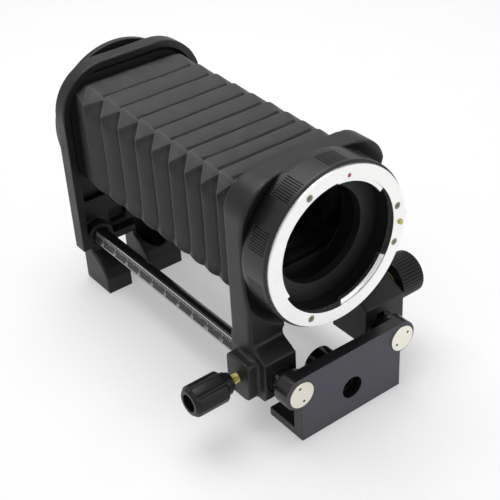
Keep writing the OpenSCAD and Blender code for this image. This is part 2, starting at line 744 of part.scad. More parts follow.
module lens_barrel() {
    seat = lens_std_y + dish_depth;
    group = 360 / rib_groups;
    color([0.07, 0.07, 0.08]) difference() {
        slab(barrel_front, seat) translate([0, axis_h]) difference() {
            circle(barrel_r, $fn = 144);
            circle(barrel_in_r);
            for (g = [0:rib_groups - 1], k = [0:rib_count - 1])
                rotate(121.5 + g * group + (k - (rib_count - 1) / 2) * rib_pitch)
                    translate([barrel_r, 0]) square([2 * rib_depth, 0.5], center = true);
        }
        // Seats of the mount screws, the pin and the button
        for (a = mount_screw_angles) round_axis(mount_screw_r, a)
            bar_y(0, 0, barrel_front - eps, barrel_front + mount_stem_l + pass_gap, mount_stem_r + fixed_gap);
        round_axis(pin_r, pin_angle) {
            bar_y(0, 0, barrel_front - eps, link_y + eps, pin_d / 2 + run_gap);
            bar_y(0, 0, link_y, spring_end, spring_r + 0.1);
        }
        round_axis(button_r, button_angle)
            bar_y(0, 0, barrel_front - eps, link_y + link_t + press + pass_gap, button_d / 2 + pass_gap);
        translate([0, 0, axis_h]) rotate([0, -pin_angle, 0])
            translate([pin_r - link_w / 2 - 0.1, link_y - pass_gap, -link_w / 2 - pass_gap])
                cube([8, link_t + press + 2 * pass_gap, link_w + 2 * pass_gap]);
    }
}

module baffle() {
    color([0.05, 0.05, 0.05]) difference() {
        union() {
            bar_y(0, axis_h, baffle_y, baffle_y + baffle_t, barrel_in_r - fixed_gap);
            bar_y(0, axis_h, baffle_y, lens_std_y + dish_depth, baffle_d / 2 + 2);
        }
        bar_y(0, axis_h, baffle_y - eps, lens_std_end, baffle_d / 2);
    }
}

module lens_mount_ring() {
    color([0.86, 0.86, 0.84]) difference() {
        union() {
            slab(lens_y, lens_y + ring_t) translate([0, axis_h]) difference() {
                circle(ring_r, $fn = 144);
                circle(ring_in_r, $fn = 144);
            }
            slab(barrel_front, barrel_front + 2) translate([0, axis_h]) difference() {
                circle(barrel_in_r - fixed_gap);
                circle(ring_in_r + lug_seat);
            }
            slab(barrel_front - 0.2, barrel_front + lug_t) translate([0, axis_h])
                for (a = lug_angles) arc_band(
                    ring_in_r - lug_reach, ring_in_r + lug_seat + 0.2, a - lug_span / 2, a + lug_span / 2);
        }
        for (a = mount_screw_angles) round_axis(mount_screw_r, a) {
            bar_y(0, 0, lens_y - eps, lens_y + ring_t + eps, mount_stem_r + fixed_gap);
            bar_y(0, 0, lens_y - eps, lens_y + mount_screw_seat, mount_screw_d / 2 + fixed_gap);
        }
        round_axis(pin_r, pin_angle) bar_y(0, 0, lens_y - eps, lens_y + ring_t + eps, pin_d / 2 + run_gap);
        round_axis(dot_r, dot_angle) bar_y(0, 0, lens_y - eps, lens_y + 0.5, dot_d / 2 + fixed_gap);
    }
}

module mount_screws() {
    color([0.62, 0.60, 0.50]) for (a = mount_screw_angles) round_axis(mount_screw_r, a) difference() {
        union() {
            bar_y(0, 0, lens_y + 0.2, lens_y + mount_screw_seat, mount_screw_d / 2);
            bar_y(0, 0, lens_y + mount_screw_seat, barrel_front + mount_stem_l, mount_stem_r);
        }
        translate([0, lens_y + 0.2, 0]) cross_slot(0.57 * mount_screw_d, 0.35);
    }
}

// Curved leaf springs that press a lens's bayonet against the lugs
module mount_springs() {
    y = barrel_front + lug_t;
    color([0.80, 0.78, 0.70]) for (a = lug_angles)
        slab(y, y + 0.3) translate([0, axis_h])
            arc_band(ring_in_r - lug_reach + 0.5, ring_in_r + lug_seat, a - 23, a + 23);
}

module index_dot() {
    color([0.75, 0.16, 0.16]) round_axis(dot_r, dot_angle)
        bar_y(0, 0, lens_y + 0.05, lens_y + 0.5, dot_d / 2);
}

// --- Lens release ---------------------------------------------------------------

button_y = lens_y + 3;
link_y = button_y + button_l;
link_t = 0.8;
link_w = 2.4;
spring_r = 1.15;
spring_end = link_y + link_t + 3.2;

module release_button() {
    color([0.80, 0.80, 0.78]) round_axis(button_r, button_angle)
        bar_y(0, 0, button_y, link_y, button_d / 2);
}

module lock_pin() {
    color([0.80, 0.78, 0.68]) round_axis(pin_r, pin_angle)
        bar_y(0, 0, lens_y - pin_out, link_y, pin_d / 2);
}

// Plate that joins the button to the locking pin
module release_link() {
    color([0.45, 0.45, 0.45]) hull() {
        round_axis(pin_r, pin_angle) bar_y(0, 0, link_y, link_y + link_t, link_w / 2, $fn = 32);
        round_axis(button_r, button_angle) bar_y(0, 0, link_y, link_y + link_t, link_w / 2, $fn = 32);
    }
}

module release_spring() {
    color([0.6, 0.6, 0.6]) round_axis(pin_r, pin_angle) difference() {
        bar_y(0, 0, link_y + link_t, spring_end, spring_r);
        bar_y(0, 0, link_y, spring_end + eps, spring_r - 0.4);
    }
}

// --- Focus drive --------------------------------------------------------------------

// One involute flank point at radius r, as an angle from the tooth's centre line
function involute(a) = tan(a) * 180 / PI - a;
function flank_angle(r, base_r, half_pitch_angle) =
    half_pitch_angle + involute(20) - involute(acos(base_r / r));

module pinion() {
    base_r = pinion_pitch_r * cos(20);
    tip_r = pinion_pitch_r + gear_module;
    root_r = pinion_pitch_r - 1.25 * gear_module;
    half_angle = 90 / pinion_teeth - tooth_backlash / 4 / pinion_pitch_r * 180 / PI;
    radii = [for (i = [0:4]) base_r + (tip_r - base_r) * i / 4];
    left = [for (r = radii) let (a = flank_angle(r, base_r, half_angle)) r * [cos(a), sin(a)]];
    right = [for (p = left) [p[0], -p[1]]];
    foot_a = flank_angle(base_r, base_r, half_angle);
    flank = [for (i = [4:-1:0]) left[i]];
    color([0.66, 0.64, 0.58])
        translate([rail_x, pinion_y, pinion_h]) rotate([0, 90, 0])
            linear_extrude(pinion_w, center = true) difference() {
                union() {
                    circle(root_r, $fn = 60);
                    // A tooth points straight down at the rack
                    for (k = [0:pinion_teeth - 1]) rotate(360 * k / pinion_teeth)
                        polygon(concat(
                            [[0.6 * root_r * cos(foot_a), -0.6 * root_r * sin(foot_a)]],
                            right, flank,
                            [[0.6 * root_r * cos(foot_a), 0.6 * root_r * sin(foot_a)]]));
                }
                circle(shaft_d / 2 + fixed_gap, $fn = 48);
            }
}

module pinion_shaft() {
    inner = rail_x - pinion_w / 2 - 3.6;
    color([0.70, 0.70, 0.69])
        bar_x(pinion_y, pinion_h, inner, focus_x + focus_l - 3, shaft_d / 2);
}

module focus_knob() {
    r = focus_d / 2;
    color([0.08, 0.08, 0.08]) difference() {
        translate([focus_x, pinion_y, pinion_h]) rotate([0, 90, 0]) union() {
            linear_extrude(focus_l - 0.8) difference() {
                circle(r);
                for (k = [0:focus_ribs - 1]) rotate(360 * k / focus_ribs)
                    translate([r, 0]) rotate(45) square(0.7, center = true);
            }
            translate([0, 0, focus_l - 0.8]) cylinder(h = 0.8, r1 = r - 0.4, r2 = r - 1.1);
        }
        bar_x(pinion_y, pinion_h, focus_x - eps, focus_x + focus_l - 3 + 0.2, shaft_d / 2 + fixed_gap);
        translate([focus_x + 3, pinion_y, pinion_h]) rotate([90, 0, 0]) cylinder(h = r + 1, r = 1.2 + fixed_gap);
    }
}

module knob_grub_screw() {
    color([0.30, 0.30, 0.30]) difference() {
        translate([focus_x + 3, pinion_y - shaft_d / 2 - 0.05, pinion_h]) rotate([90, 0, 0])
            cylinder(h = 4, r = 1.2);
        translate([focus_x + 3, pinion_y - shaft_d / 2 - 4, pinion_h]) cube([2, 1, 0.4], center = true);
    }
}

// --- Clamp ------------------------------------------------------------------------------

module clamp_knob() {
    r = clamp_d / 2;
    valley = 0.75;
    color([0.08, 0.08, 0.08]) difference() {
        union() {
            bar_x(clamp_y, rail_h, -clamp_knob_x - eps, -clamp_collar_x, r * 0.72);
            translate([-clamp_knob_x, clamp_y, rail_h]) rotate([0, -90, 0]) {
                linear_extrude(clamp_l - 1.4) clamp_outline(r, valley);
                translate([0, 0, clamp_l - 1.4]) cylinder(h = 1.4, r1 = r - valley, r2 = r - valley - 1);
            }
        }
        bar_x(clamp_y, rail_h, -clamp_knob_x - clamp_l - eps, -clamp_knob_x - clamp_l + clamp_hollow_l,
            clamp_hollow_d / 2);
        bar_x(clamp_y, rail_h, -clamp_knob_x - 6, -clamp_collar_x + eps, clamp_screw_r + fixed_gap);
    }
}

module clamp_outline(r, valley) {
    difference() {
        circle(r);
        for (k = [0:clamp_lobes - 1]) rotate(360 * (k + 0.5) / clamp_lobes)
            translate([r + 0.9 - valley, 0]) circle(0.9, $fn = 24);
    }
}

module clamp_screw() {
    color([0.72, 0.60, 0.28])
        bar_x(clamp_y, rail_h, -clamp_knob_x - 5.8, -rail_x - rail_r - run_gap - pad_t - 0.1, clamp_screw_r);
}

module clamp_pad() {
    color([0.72, 0.60, 0.28])
        bar_x(clamp_y, rail_h, -rail_x - rail_r - run_gap - pad_t, -rail_x - rail_r - run_gap, clamp_screw_r - 0.2);
}

rail_left();
rail_right();
rack();
rail_caps();
rail_rear_screws();
end_plate();
socket_bush();
tripod_bush();
rear_standard();
rear_bellows_frame();
bellows();
camera_flange();
camera_bayonet();
flange_screws();
front_standard();
rail_bushes();
pinion_bush();
front_bellows_frame();
lens_barrel();
baffle();
lens_mount_ring();
mount_screws();
mount_springs();
index_dot();
release_button();
lock_pin();
release_link();
release_spring();
focus_knob();
pinion_shaft();
pinion();
knob_grub_screw();
clamp_knob();
clamp_screw();
clamp_pad();
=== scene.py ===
# %% [markdown]
# # A macro bellows unit
#
# This unit sits between a camera and its lens. A lens standard slides along
# two round rails towards a camera standard, and a pleated bellows keeps the
# light out between them. The frame that is loaded here holds every working
# piece at its real size, so the lesson is about looks: soft cast edges,
# folded cloth, printed marks, knurls, threads and their finishes.

# %% Tools and the frame
import json

import bmesh
import bpy
import numpy as np
from mathutils import Matrix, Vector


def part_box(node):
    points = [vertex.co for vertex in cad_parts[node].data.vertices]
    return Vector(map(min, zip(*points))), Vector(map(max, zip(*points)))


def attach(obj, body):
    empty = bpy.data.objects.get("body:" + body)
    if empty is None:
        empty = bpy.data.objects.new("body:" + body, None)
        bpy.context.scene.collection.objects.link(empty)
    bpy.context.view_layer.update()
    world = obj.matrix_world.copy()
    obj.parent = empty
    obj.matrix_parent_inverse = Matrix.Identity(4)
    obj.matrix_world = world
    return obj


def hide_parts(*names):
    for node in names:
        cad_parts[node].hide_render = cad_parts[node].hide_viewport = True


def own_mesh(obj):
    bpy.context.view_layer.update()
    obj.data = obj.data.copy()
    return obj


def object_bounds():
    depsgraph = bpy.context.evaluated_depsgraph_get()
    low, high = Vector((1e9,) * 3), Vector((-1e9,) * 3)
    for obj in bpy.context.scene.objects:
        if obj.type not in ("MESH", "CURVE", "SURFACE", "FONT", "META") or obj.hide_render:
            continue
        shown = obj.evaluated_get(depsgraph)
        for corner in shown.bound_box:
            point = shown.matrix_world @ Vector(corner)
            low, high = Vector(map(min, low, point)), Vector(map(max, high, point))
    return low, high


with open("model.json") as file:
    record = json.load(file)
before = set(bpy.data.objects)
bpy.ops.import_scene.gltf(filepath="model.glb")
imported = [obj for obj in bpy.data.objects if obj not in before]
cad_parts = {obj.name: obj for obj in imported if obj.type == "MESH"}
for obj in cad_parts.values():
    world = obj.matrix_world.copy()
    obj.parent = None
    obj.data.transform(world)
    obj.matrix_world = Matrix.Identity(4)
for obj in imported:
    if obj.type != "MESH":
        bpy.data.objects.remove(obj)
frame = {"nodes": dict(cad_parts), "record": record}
cad_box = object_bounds()
nodes = frame["nodes"]
record = frame["record"]
MM = 0.001
BODY = {node: body for body, held in record["behaviour"]["bodies"].items() for node in held}


# %% [markdown]
# ## Where things are
#
# A piece that follows the frame never needs a measured number of its own: its
# place comes from the box of the node that it dresses.

# %% Places read from the frame
def extent(node):
    """A node's lowest corner, highest corner and middle, as arrays in metres."""
    low, high = (np.array(corner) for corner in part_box(node))
    return low, high, (low + high) / 2


AXIS_H = extent("lens_mount_ring")[2][2]
rail_low, rail_high, rail_mid = extent("rail_left")
RAIL_R = (rail_high[2] - rail_low[2]) / 2
print("lens axis at", round(AXIS_H / MM, 2), "mm, rails", round(2 * RAIL_R / MM, 2), "mm thick")

# %% [markdown]
# ## The camera
#
# The camera stands ahead of the unit, to its left and above it. Its turn is
# given by the direction back to it from the object and by a small roll, and
# the three axes of the picture follow from those two.

# %% Camera
CAMERA_PLACE = (-0.22288, -0.26001, 0.30597)
CAMERA_BACK = np.array([-0.48184, -0.67109, 0.56344])
CAMERA_ROLL = np.radians(-3.385)


def camera_axes(back, roll):
    """Right, up and back of the picture: level axes turned by the roll about back."""
    back = back / np.linalg.norm(back)
    level_right = np.cross([0, 0, 1], back)
    level_right /= np.linalg.norm(level_right)
    level_up = np.cross(back, level_right)
    right = level_right * np.cos(roll) + level_up * np.sin(roll)
    up = np.cross(back, right)
    return right, up, back


camera_data = bpy.data.cameras.new("camera")
camera_data.lens = 81.3
camera_data.sensor_width = 36
camera_data.clip_start = 0.01
camera = bpy.data.objects.new("camera", camera_data)
bpy.context.scene.collection.objects.link(camera)
turn = Matrix(np.array(camera_axes(CAMERA_BACK, CAMERA_ROLL)).T.tolist()).to_4x4()
camera.matrix_world = Matrix.Translation(CAMERA_PLACE) @ turn
bpy.context.scene.camera = camera
bpy.context.scene.view_settings.view_transform = "Standard"
print("camera at", CAMERA_PLACE)

# %% [markdown]
# ## Surfaces from arrays
#
# Most new pieces are a grid of points, worked out as whole arrays. The grid
# becomes a mesh by joining each point to its neighbours in the next row and
# column. Either direction can wrap round, as it does on a tube or a ring.


# %% Grid helpers
def quads(rows, cols, wrap_rows=False, wrap_cols=True, first=0):
    """Corners of every cell of a grid whose points are numbered row by row."""
    r, c = np.meshgrid(
        np.arange(rows if wrap_rows else rows - 1),
        np.arange(cols if wrap_cols else cols - 1),
        indexing="ij",
    )
    r2, c2 = (r + 1) % rows, (c + 1) % cols
    cell = np.stack([r * cols + c, r * cols + c2, r2 * cols + c2, r2 * cols + c], -1)
    return cell.reshape(-1, 4) + first


def joined(parts):
    """Several (points, faces) shells as one pair, their indices shifted on."""
    points, faces, count = [], [], 0
    for shell_points, shell_faces in parts:
        points.append(np.asarray(shell_points, float).reshape(-1, 3))
        faces.append(shell_faces + count)
        count += len(points[-1])
    return np.concatenate(points), np.concatenate(faces)


def heal(mesh, distance=1e-7):
    """Merges points that coincide, drops empty faces and turns faces outwards."""
    work = bmesh.new()
    work.from_mesh(mesh)
    bmesh.ops.remove_doubles(work, verts=work.verts, dist=distance)
    bmesh.ops.dissolve_degenerate(work, edges=work.edges, dist=distance)
    bmesh.ops.recalc_face_normals(work, faces=work.faces)
    work.to_mesh(mesh)
    work.free()


def new_piece(name, points, faces, healed=True):
    """A mesh object at the origin with these points and faces."""
    mesh = bpy.data.meshes.new(name)
    mesh.from_pydata(np.asarray(points, float).reshape(-1, 3).tolist(), [], faces.tolist())
    if healed:
        heal(mesh)
    mesh.update()
    piece = bpy.data.objects.new(name, mesh)
    bpy.context.scene.collection.objects.link(piece)
    return piece


# %% Finishing helpers
def dress(piece, material, node, replaces=True, sharp=35):
    """Gives a piece its finish, its shading and its body, and hides the node that it replaces."""
    piece.data.materials.clear()
    piece.data.materials.append(material)
    piece.data.shade_smooth()
    piece.data.set_sharp_from_angle(angle=np.radians(sharp))
    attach(piece, BODY[node])
    if replaces:
        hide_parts(node)
    print(piece.name, len(piece.data.polygons), "faces")


# %% [markdown]
# Turned parts are profiles carried round an axis. The profile is a list of
# (radius, distance) corners, and each corner is eased by a short curve,
# because a machined edge is never quite sharp.

# %% Turned parts
AXES = {"x": (1, 2, 0), "y": (0, 2, 1), "z": (0, 1, 2)}


def eased(corners, radius, closed=False, steps=4):
    """A profile whose corners are quadratic curves of about this radius."""
    corners = np.asarray(corners, float)
    count = len(corners)
    radius = np.broadcast_to(radius, count)
    out = []
    t = np.linspace(0, 1, steps + 1)[:, None]
    for i, corner in enumerate(corners):
        if not closed and i in (0, count - 1):
            out.append(corner[None])
            continue
        before, after = corners[i - 1] - corner, corners[(i + 1) % count] - corner
        reach_before = min(radius[i], 0.49 * np.linalg.norm(before))
        reach_after = min(radius[i], 0.49 * np.linalg.norm(after))
        if reach_before < 1e-7 or reach_after < 1e-7:
            out.append(corner[None])
            continue
        a = corner + before / np.linalg.norm(before) * reach_before
        b = corner + after / np.linalg.norm(after) * reach_after
        out.append((1 - t) ** 2 * a + 2 * t * (1 - t) * corner + t**2 * b)
    return np.concatenate(out)


def round_grid(radius, along, angle, centre, axis):
    """Points at radius and angle round an axis, and at a distance along it."""
    across, upright, down = AXES[axis]
    radius, along, angle = np.broadcast_arrays(radius, along, angle)
    points = np.empty(radius.shape + (3,))
    points[..., across] = centre[across] + radius * np.cos(angle)
    points[..., upright] = centre[upright] + radius * np.sin(angle)
    points[..., down] = along
    return points


def turned(profile, centre, axis="y", columns=96, closed=False, shape=None, angles=None):
    """A surface of revolution. shape(radius, along, angle) may bend its radius."""
    profile = np.asarray(profile, float)
    if angles is None:
        angles = np.linspace(0, 2 * np.pi, columns, endpoint=False)
    radius, along = profile[:, :1] + 0 * angles, profile[:, 1:] + 0 * angles
    if shape is not None:
        radius = shape(radius, along, angles[None] + 0 * radius)
    points = round_grid(radius, along, angles[None], centre, axis)
    return points, quads(len(profile), len(angles), wrap_rows=closed)


print("turned parts ready")

# %% [markdown]
# ## Softened copies
#
# Machined pieces keep the node's shape and only need their edges broken. The
# node's triangles are merged into flat faces on a copy, and a Bevel modifier
# then rounds each edge that is sharper than the angle.


# %% Copies of nodes
def merged_copy(name, node, flat_angle=0.5):
    """A copy of a node's mesh with shared points and whole flat faces."""
    mesh = nodes[node].data.copy()
    work = bmesh.new()
    work.from_mesh(mesh)
    bmesh.ops.remove_doubles(work, verts=work.verts, dist=1e-6)
    bmesh.ops.dissolve_limit(
        work, angle_limit=np.radians(flat_angle), verts=work.verts, edges=work.edges
    )
    work.to_mesh(mesh)
    work.free()
    piece = bpy.data.objects.new(name, mesh)
    bpy.context.scene.collection.objects.link(piece)
    return piece


def softened(name, node, width, material, segments=2, angle=30):
    """A copy of a node whose sharp edges are rounded by a width."""
    piece = merged_copy(name, node)
    bevel = piece.modifiers.new("broken_edges", "BEVEL")
    bevel.width = width
    bevel.segments = segments
    bevel.limit_method = "ANGLE"
    bevel.angle_limit = np.radians(angle)
    bevel.use_clamp_overlap = False
    bevel.harden_normals = True
    dress(piece, material, node)


# %% [markdown]
# Castings are softer. Their copy is skinned again on a fine voxel grid and
# then relaxed: each point moves towards the middle of its neighbours, a few
# times over. Flat faces stay flat and every edge becomes a smooth radius. One
# outer edge is rounder still on the real castings. Its points relax for longer,
# and by less the further they lie from that edge.

# %% Castings
VOXEL = 0.5 * MM


def relax(mesh, rounds, weight=1.0):
    """Moves each point by weight/2 of the way to its neighbours' mean, in rounds."""
    count = len(mesh.vertices)
    points = np.empty(3 * count, np.float32)
    mesh.vertices.foreach_get("co", points)
    points = points.reshape(-1, 3).astype(float)
    edges = np.empty(2 * len(mesh.edges), np.int32)
    mesh.edges.foreach_get("vertices", edges)
    a, b = edges.reshape(-1, 2).T
    degree = np.bincount(a, minlength=count) + np.bincount(b, minlength=count)
    share = (0.5 * np.broadcast_to(weight, count))[:, None]
    for _ in range(rounds):
        total = np.empty_like(points)
        for i in range(3):
            total[:, i] = np.bincount(a, points[b, i], count) + np.bincount(b, points[a, i], count)
        points += share * (total / degree[:, None] - points)
    mesh.vertices.foreach_set("co", points.astype(np.float32).ravel())
    mesh.update()


def mesh_points(mesh):
    """All points of a mesh as an array."""
    points = np.empty(3 * len(mesh.vertices), np.float32)
    mesh.vertices.foreach_get("co", points)
    return points.reshape(-1, 3).astype(float)


def set_measure(mesh, name, values):
    """A named number for every point of a mesh, for its finish to read."""
    attribute = mesh.attributes.new(name, "FLOAT", "POINT")
    attribute.data.foreach_set("value", values.astype(np.float32))


def edge_distance(points, half, top, corner, edge_y):
    """Distance from a standard's outer edge: its outline, carried to the plane edge_y."""
    across = np.abs(points[:, 0]) - (half - corner)
    upward = points[:, 2] - (top - corner)
    outside = np.hypot(np.maximum(across, 0), np.maximum(upward, 0))
    inward = corner - outside - np.minimum(np.maximum(across, upward), 0)
    return np.hypot(inward, points[:, 1] - edge_y)


def cast(name, node, material, rounds, edge, edge_rounds, edge_reach=2.5 * MM):
    """A softly rounded casting in the place of a node. One outer edge is softer still."""
    piece = merged_copy(name, node)
    skin = piece.modifiers.new("skin", "REMESH")
    skin.mode = "VOXEL"
    skin.voxel_size = VOXEL
    graph = bpy.context.evaluated_depsgraph_get()
    mesh = bpy.data.meshes.new_from_object(piece.evaluated_get(graph))
    piece.modifiers.clear()
    piece.data = mesh
    relax(mesh, rounds)
    away = edge_distance(mesh_points(mesh), *edge)
    relax(mesh, edge_rounds, np.clip(1.5 - away / edge_reach, 0, 1))
    dress(piece, material, node, sharp=80)


print("castings are skinned at", VOXEL / MM, "mm")

# %% [markdown]
# ## Finishes
#
# Effects that several finishes share are node groups: a fine grain, sparse
# dust, and bright edges that are partly wear and partly a painted highlight.
# Each takes the place on the object as a vector and gives back a mask or a
# height, and the material mixes it in. The shader itself, with its plain
# values, stays in the material.


# %% Node helpers
def node(tree, kind, inputs=None, **settings):
    """A new node with its settings and inputs. A socket as an input is linked."""
    made = tree.nodes.new(kind)
    for key, value in settings.items():
        setattr(made, key, value)
    for key, value in (inputs or {}).items():
        if isinstance(value, bpy.types.NodeSocket):
            tree.links.new(value, made.inputs[key])
        else:
            made.inputs[key].default_value = value
    return made


def math(tree, operation, a, b=0.0, c=0.0, clamp=False):
    """One sum of two or three values, as a socket."""
    return node(tree, "ShaderNodeMath", {0: a, 1: b, 2: c},
                operation=operation, use_clamp=clamp).outputs[0]


def spread(tree, value, low, high, to_low=0.0, to_high=1.0):
    """A value between low and high, spread out to a new range."""
    ends = {"Value": value, "From Min": low, "From Max": high, "To Min": to_low, "To Max": to_high}
    return node(tree, "ShaderNodeMapRange", ends).outputs[0]


def mixed(tree, share, a, b):
    """Colour a turned into colour b by a share."""
    made = node(tree, "ShaderNodeMix", {0: share, 6: a, 7: b}, data_type="RGBA")
    return made.outputs[2]


def effect(name, inputs, outputs):
    """An empty node group with named inputs (with defaults) and outputs."""
    group = bpy.data.node_groups.new(name, "ShaderNodeTree")
    for key, (kind, value) in inputs.items():
        socket = group.interface.new_socket(key, in_out="INPUT", socket_type=kind)
        if value is not None:
            socket.default_value = value
    for key, kind in outputs.items():
        group.interface.new_socket(key, in_out="OUTPUT", socket_type=kind)
    entry, exit_ = group.nodes.new("NodeGroupInput"), group.nodes.new("NodeGroupOutput")
    return group, entry.outputs, exit_.inputs


def use(tree, group, **inputs):
    """A group placed in a material, with this material's values."""
    values = {key.replace("_", " "): value for key, value in inputs.items()}
    return node(tree, "ShaderNodeGroup", values, node_tree=group).outputs


VECTOR, FLOAT = "NodeSocketVector", "NodeSocketFloat"

# %% Grain, dust, and edges lightened for wear and as a painted highlight
grain, g_in, g_out = effect(
    "grain", {"Place": (VECTOR, None), "Size mm": (FLOAT, 0.5)}, {"Height": FLOAT, "Cloud": FLOAT}
)
fineness = math(grain, "DIVIDE", 1000.0, g_in["Size mm"])
fine, broad = (
    node(grain, "ShaderNodeTexNoise", {"Vector": g_in["Place"], "Scale": scale, "Detail": detail})
    for scale, detail in ((fineness, 3.0), (90.0, 4.0)))
grain.links.new(fine.outputs[0], g_out["Height"])
grain.links.new(broad.outputs[0], g_out["Cloud"])

dust, d_in, d_out = effect(
    "dust", {"Place": (VECTOR, None), "Spacing mm": (FLOAT, 3.0), "Speck mm": (FLOAT, 0.12)},
    {"Mask": FLOAT}
)
spacing = math(dust, "DIVIDE", 1000.0, d_in["Spacing mm"])
cells = node(dust, "ShaderNodeTexVoronoi", {"Vector": d_in["Place"], "Scale": spacing})
speck = math(dust, "DIVIDE", d_in["Speck mm"], d_in["Spacing mm"])
chance = node(dust, "ShaderNodeSeparateColor", {"Color": cells.outputs["Color"]}).outputs[0]
size = math(dust, "MULTIPLY", speck, math(dust, "MULTIPLY_ADD", chance, 1.6, -0.4, clamp=True))
mask = math(dust, "LESS_THAN", cells.outputs["Distance"], size)
dust.links.new(mask, d_out["Mask"])

# Lightens edges: partly paint rubbed through, partly a painted highlight along every edge
edge_wear_and_highlight, w_in, w_out = effect(
    "edge_wear_and_painted_highlight", {"Place": (VECTOR, None), "Width mm": (FLOAT, 0.4), "Amount": (FLOAT, 1.0)},
    {"Mask": FLOAT}
)
reach = math(edge_wear_and_highlight, "MULTIPLY", w_in["Width mm"], MM)
rounded = node(edge_wear_and_highlight, "ShaderNodeBevel", {"Radius": reach}, samples=6)
facing = node(edge_wear_and_highlight, "ShaderNodeNewGeometry").outputs["Normal"]
alike = node(edge_wear_and_highlight, "ShaderNodeVectorMath", {0: rounded.outputs[0], 1: facing}, operation="DOT_PRODUCT")
turned_away = spread(edge_wear_and_highlight, alike.outputs["Value"], 0.995, 0.9)
patches = node(edge_wear_and_highlight, "ShaderNodeTexNoise",
               {"Vector": w_in["Place"], "Scale": 700.0, "Detail": 4.0})
broken = spread(edge_wear_and_highlight, patches.outputs[0], 0.42, 0.62)
edge = math(edge_wear_and_highlight, "MULTIPLY", turned_away, broken)
edge = math(edge_wear_and_highlight, "MULTIPLY", edge, w_in["Amount"], clamp=True)
edge_wear_and_highlight.links.new(edge, w_out["Mask"])
print("groups:", ", ".join(group.name for group in bpy.data.node_groups))


# %% [markdown]
# A painted or anodised metal is a dark coat over bare metal. One function
# builds all of them: a base colour with a faint cloud in it, specks of dust,
# and lighter edges, where the coat has gone and where a highlight is painted.
# What differs is given by name.

# %% Coated metals
def finish(name, **shader):
    """A new material, its tree, its shader node and the object's own coordinates."""
    material = bpy.data.materials.new(name)
    material.use_nodes = True
    tree = material.node_tree
    surface = tree.nodes["Principled BSDF"]
    for key, value in shader.items():
        surface.inputs[key.replace("_", " ")].default_value = value
    place = tree.nodes.new("ShaderNodeTexCoord").outputs["Object"]
    return material, tree, surface, place


def feed(tree, surface, **sockets):
    """Links each socket to the shader's input of that name."""
    for key, socket in sockets.items():
        tree.links.new(socket, surface.inputs[key.replace("_", " ")])


def relief(tree, surface, height, depth_mm, strength=1.0):
    """A fine unevenness of the surface, from a height that varies over it."""
    bump = node(tree, "ShaderNodeBump",
                {"Height": height, "Distance": depth_mm * MM, "Strength": strength})
    feed(tree, surface, Normal=bump.outputs[0])


def grey(level, tint=(1, 1, 1)):
    """A colour of one level, as red, green, blue and alpha."""
    return (*[level * t for t in tint], 1)


CLOUDED = (0.75, 1.25)
# Width of the lightened edges, wear and painted highlight together
LIGHT_EDGE_MM = 0.35
DUST_COLOUR = grey(0.45, (1, 1, 0.95))


def coated(name, colour, roughness, bump=0.02, size=0.3, dust_share=0.5, wear=0.5,
           edge_colour=grey(0.35), **shader):
    """A dark coat with grain, dust specks, and edges lightened for wear and as a painted highlight."""
    material, tree, surface, place = finish(name, **shader)
    texture = use(tree, grain, Place=place, Size_mm=size)
    dark, light = ([k * c for c in colour[:3]] + [1] for k in CLOUDED)
    shade = mixed(tree, texture["Cloud"], dark, light)
    specks = use(tree, dust, Place=place, Spacing_mm=3.4, Speck_mm=0.13)["Mask"]
    shade = mixed(tree, math(tree, "MULTIPLY", specks, dust_share), shade, DUST_COLOUR)
    # Edges turn towards edge_colour: wear of the coat and a painted highlight
    edges = use(tree, edge_wear_and_highlight, Place=place, Width_mm=LIGHT_EDGE_MM, Amount=wear)["Mask"]
    shade = mixed(tree, edges, shade, edge_colour)
    rough = spread(tree, texture["Cloud"], 0.3, 0.7, roughness - 0.05, roughness + 0.05)
    feed(tree, surface, Base_Color=shade, Roughness=rough)
    relief(tree, surface, texture["Height"], bump)
    return material


cast_paint = coated("cast_paint", grey(0.014, (1, 1, 1.06)), 0.42, bump=0.03, size=0.5,
                    wear=0.25, edge_colour=grey(0.2), Specular_IOR_Level=0.35)
anodised = coated("anodised", grey(0.012, (1, 1, 1.05)), 0.32, bump=0.004, size=0.2,
                  wear=0.12, dust_share=0.3, Specular_IOR_Level=0.4)
black_gloss = coated("black_gloss", grey(0.008, (1, 1, 1.05)), 0.2, bump=0.003,
                     wear=0.2, dust_share=0.3, Specular_IOR_Level=0.4)
knob_plastic = coated("knob_plastic", grey(0.006, (1, 1, 1.1)), 0.34, bump=0.008,
                      wear=0.15, edge_colour=grey(0.08), Specular_IOR_Level=0.3)
matt_black = coated("matt_black", grey(0.008), 0.6, wear=0.0)
print("coated finishes:", cast_paint.name, anodised.name, black_gloss.name, knob_plastic.name)


# %% Bare metals
def bare(name, colour, roughness, tarnish):
    """A bare metal with fine tool marks, and a tarnish in its clouds."""
    material, tree, surface, place = finish(name, Metallic=1.0)
    texture = use(tree, grain, Place=place, Size_mm=0.25)
    shade = mixed(tree, spread(tree, texture["Cloud"], 0.45, 0.75), colour, tarnish)
    rough = spread(tree, texture["Height"], 0.3, 0.7, roughness - 0.06, roughness + 0.06)
    feed(tree, surface, Base_Color=shade, Roughness=rough)
    relief(tree, surface, texture["Height"], 0.004)
    return material


bright = bare("bright_chrome", grey(0.93, (1, 1, 0.99)), 0.28, tarnish=grey(0.88))
cap_metal = bare("cap_metal", (0.86, 0.84, 0.74, 1), 0.3, tarnish=(0.78, 0.76, 0.66, 1))
steel = bare("steel", grey(0.5, (1, 1, 0.97)), 0.35, tarnish=grey(0.4))
dull_steel = bare("dull_steel", (0.30, 0.29, 0.21, 1), 0.42, tarnish=(0.2, 0.2, 0.15, 1))
brass = bare("brass", (0.62, 0.56, 0.24, 1), 0.3, tarnish=(0.45, 0.40, 0.16, 1))
print("bare metals:", bright.name, cap_metal.name, steel.name, dull_steel.name, brass.name)

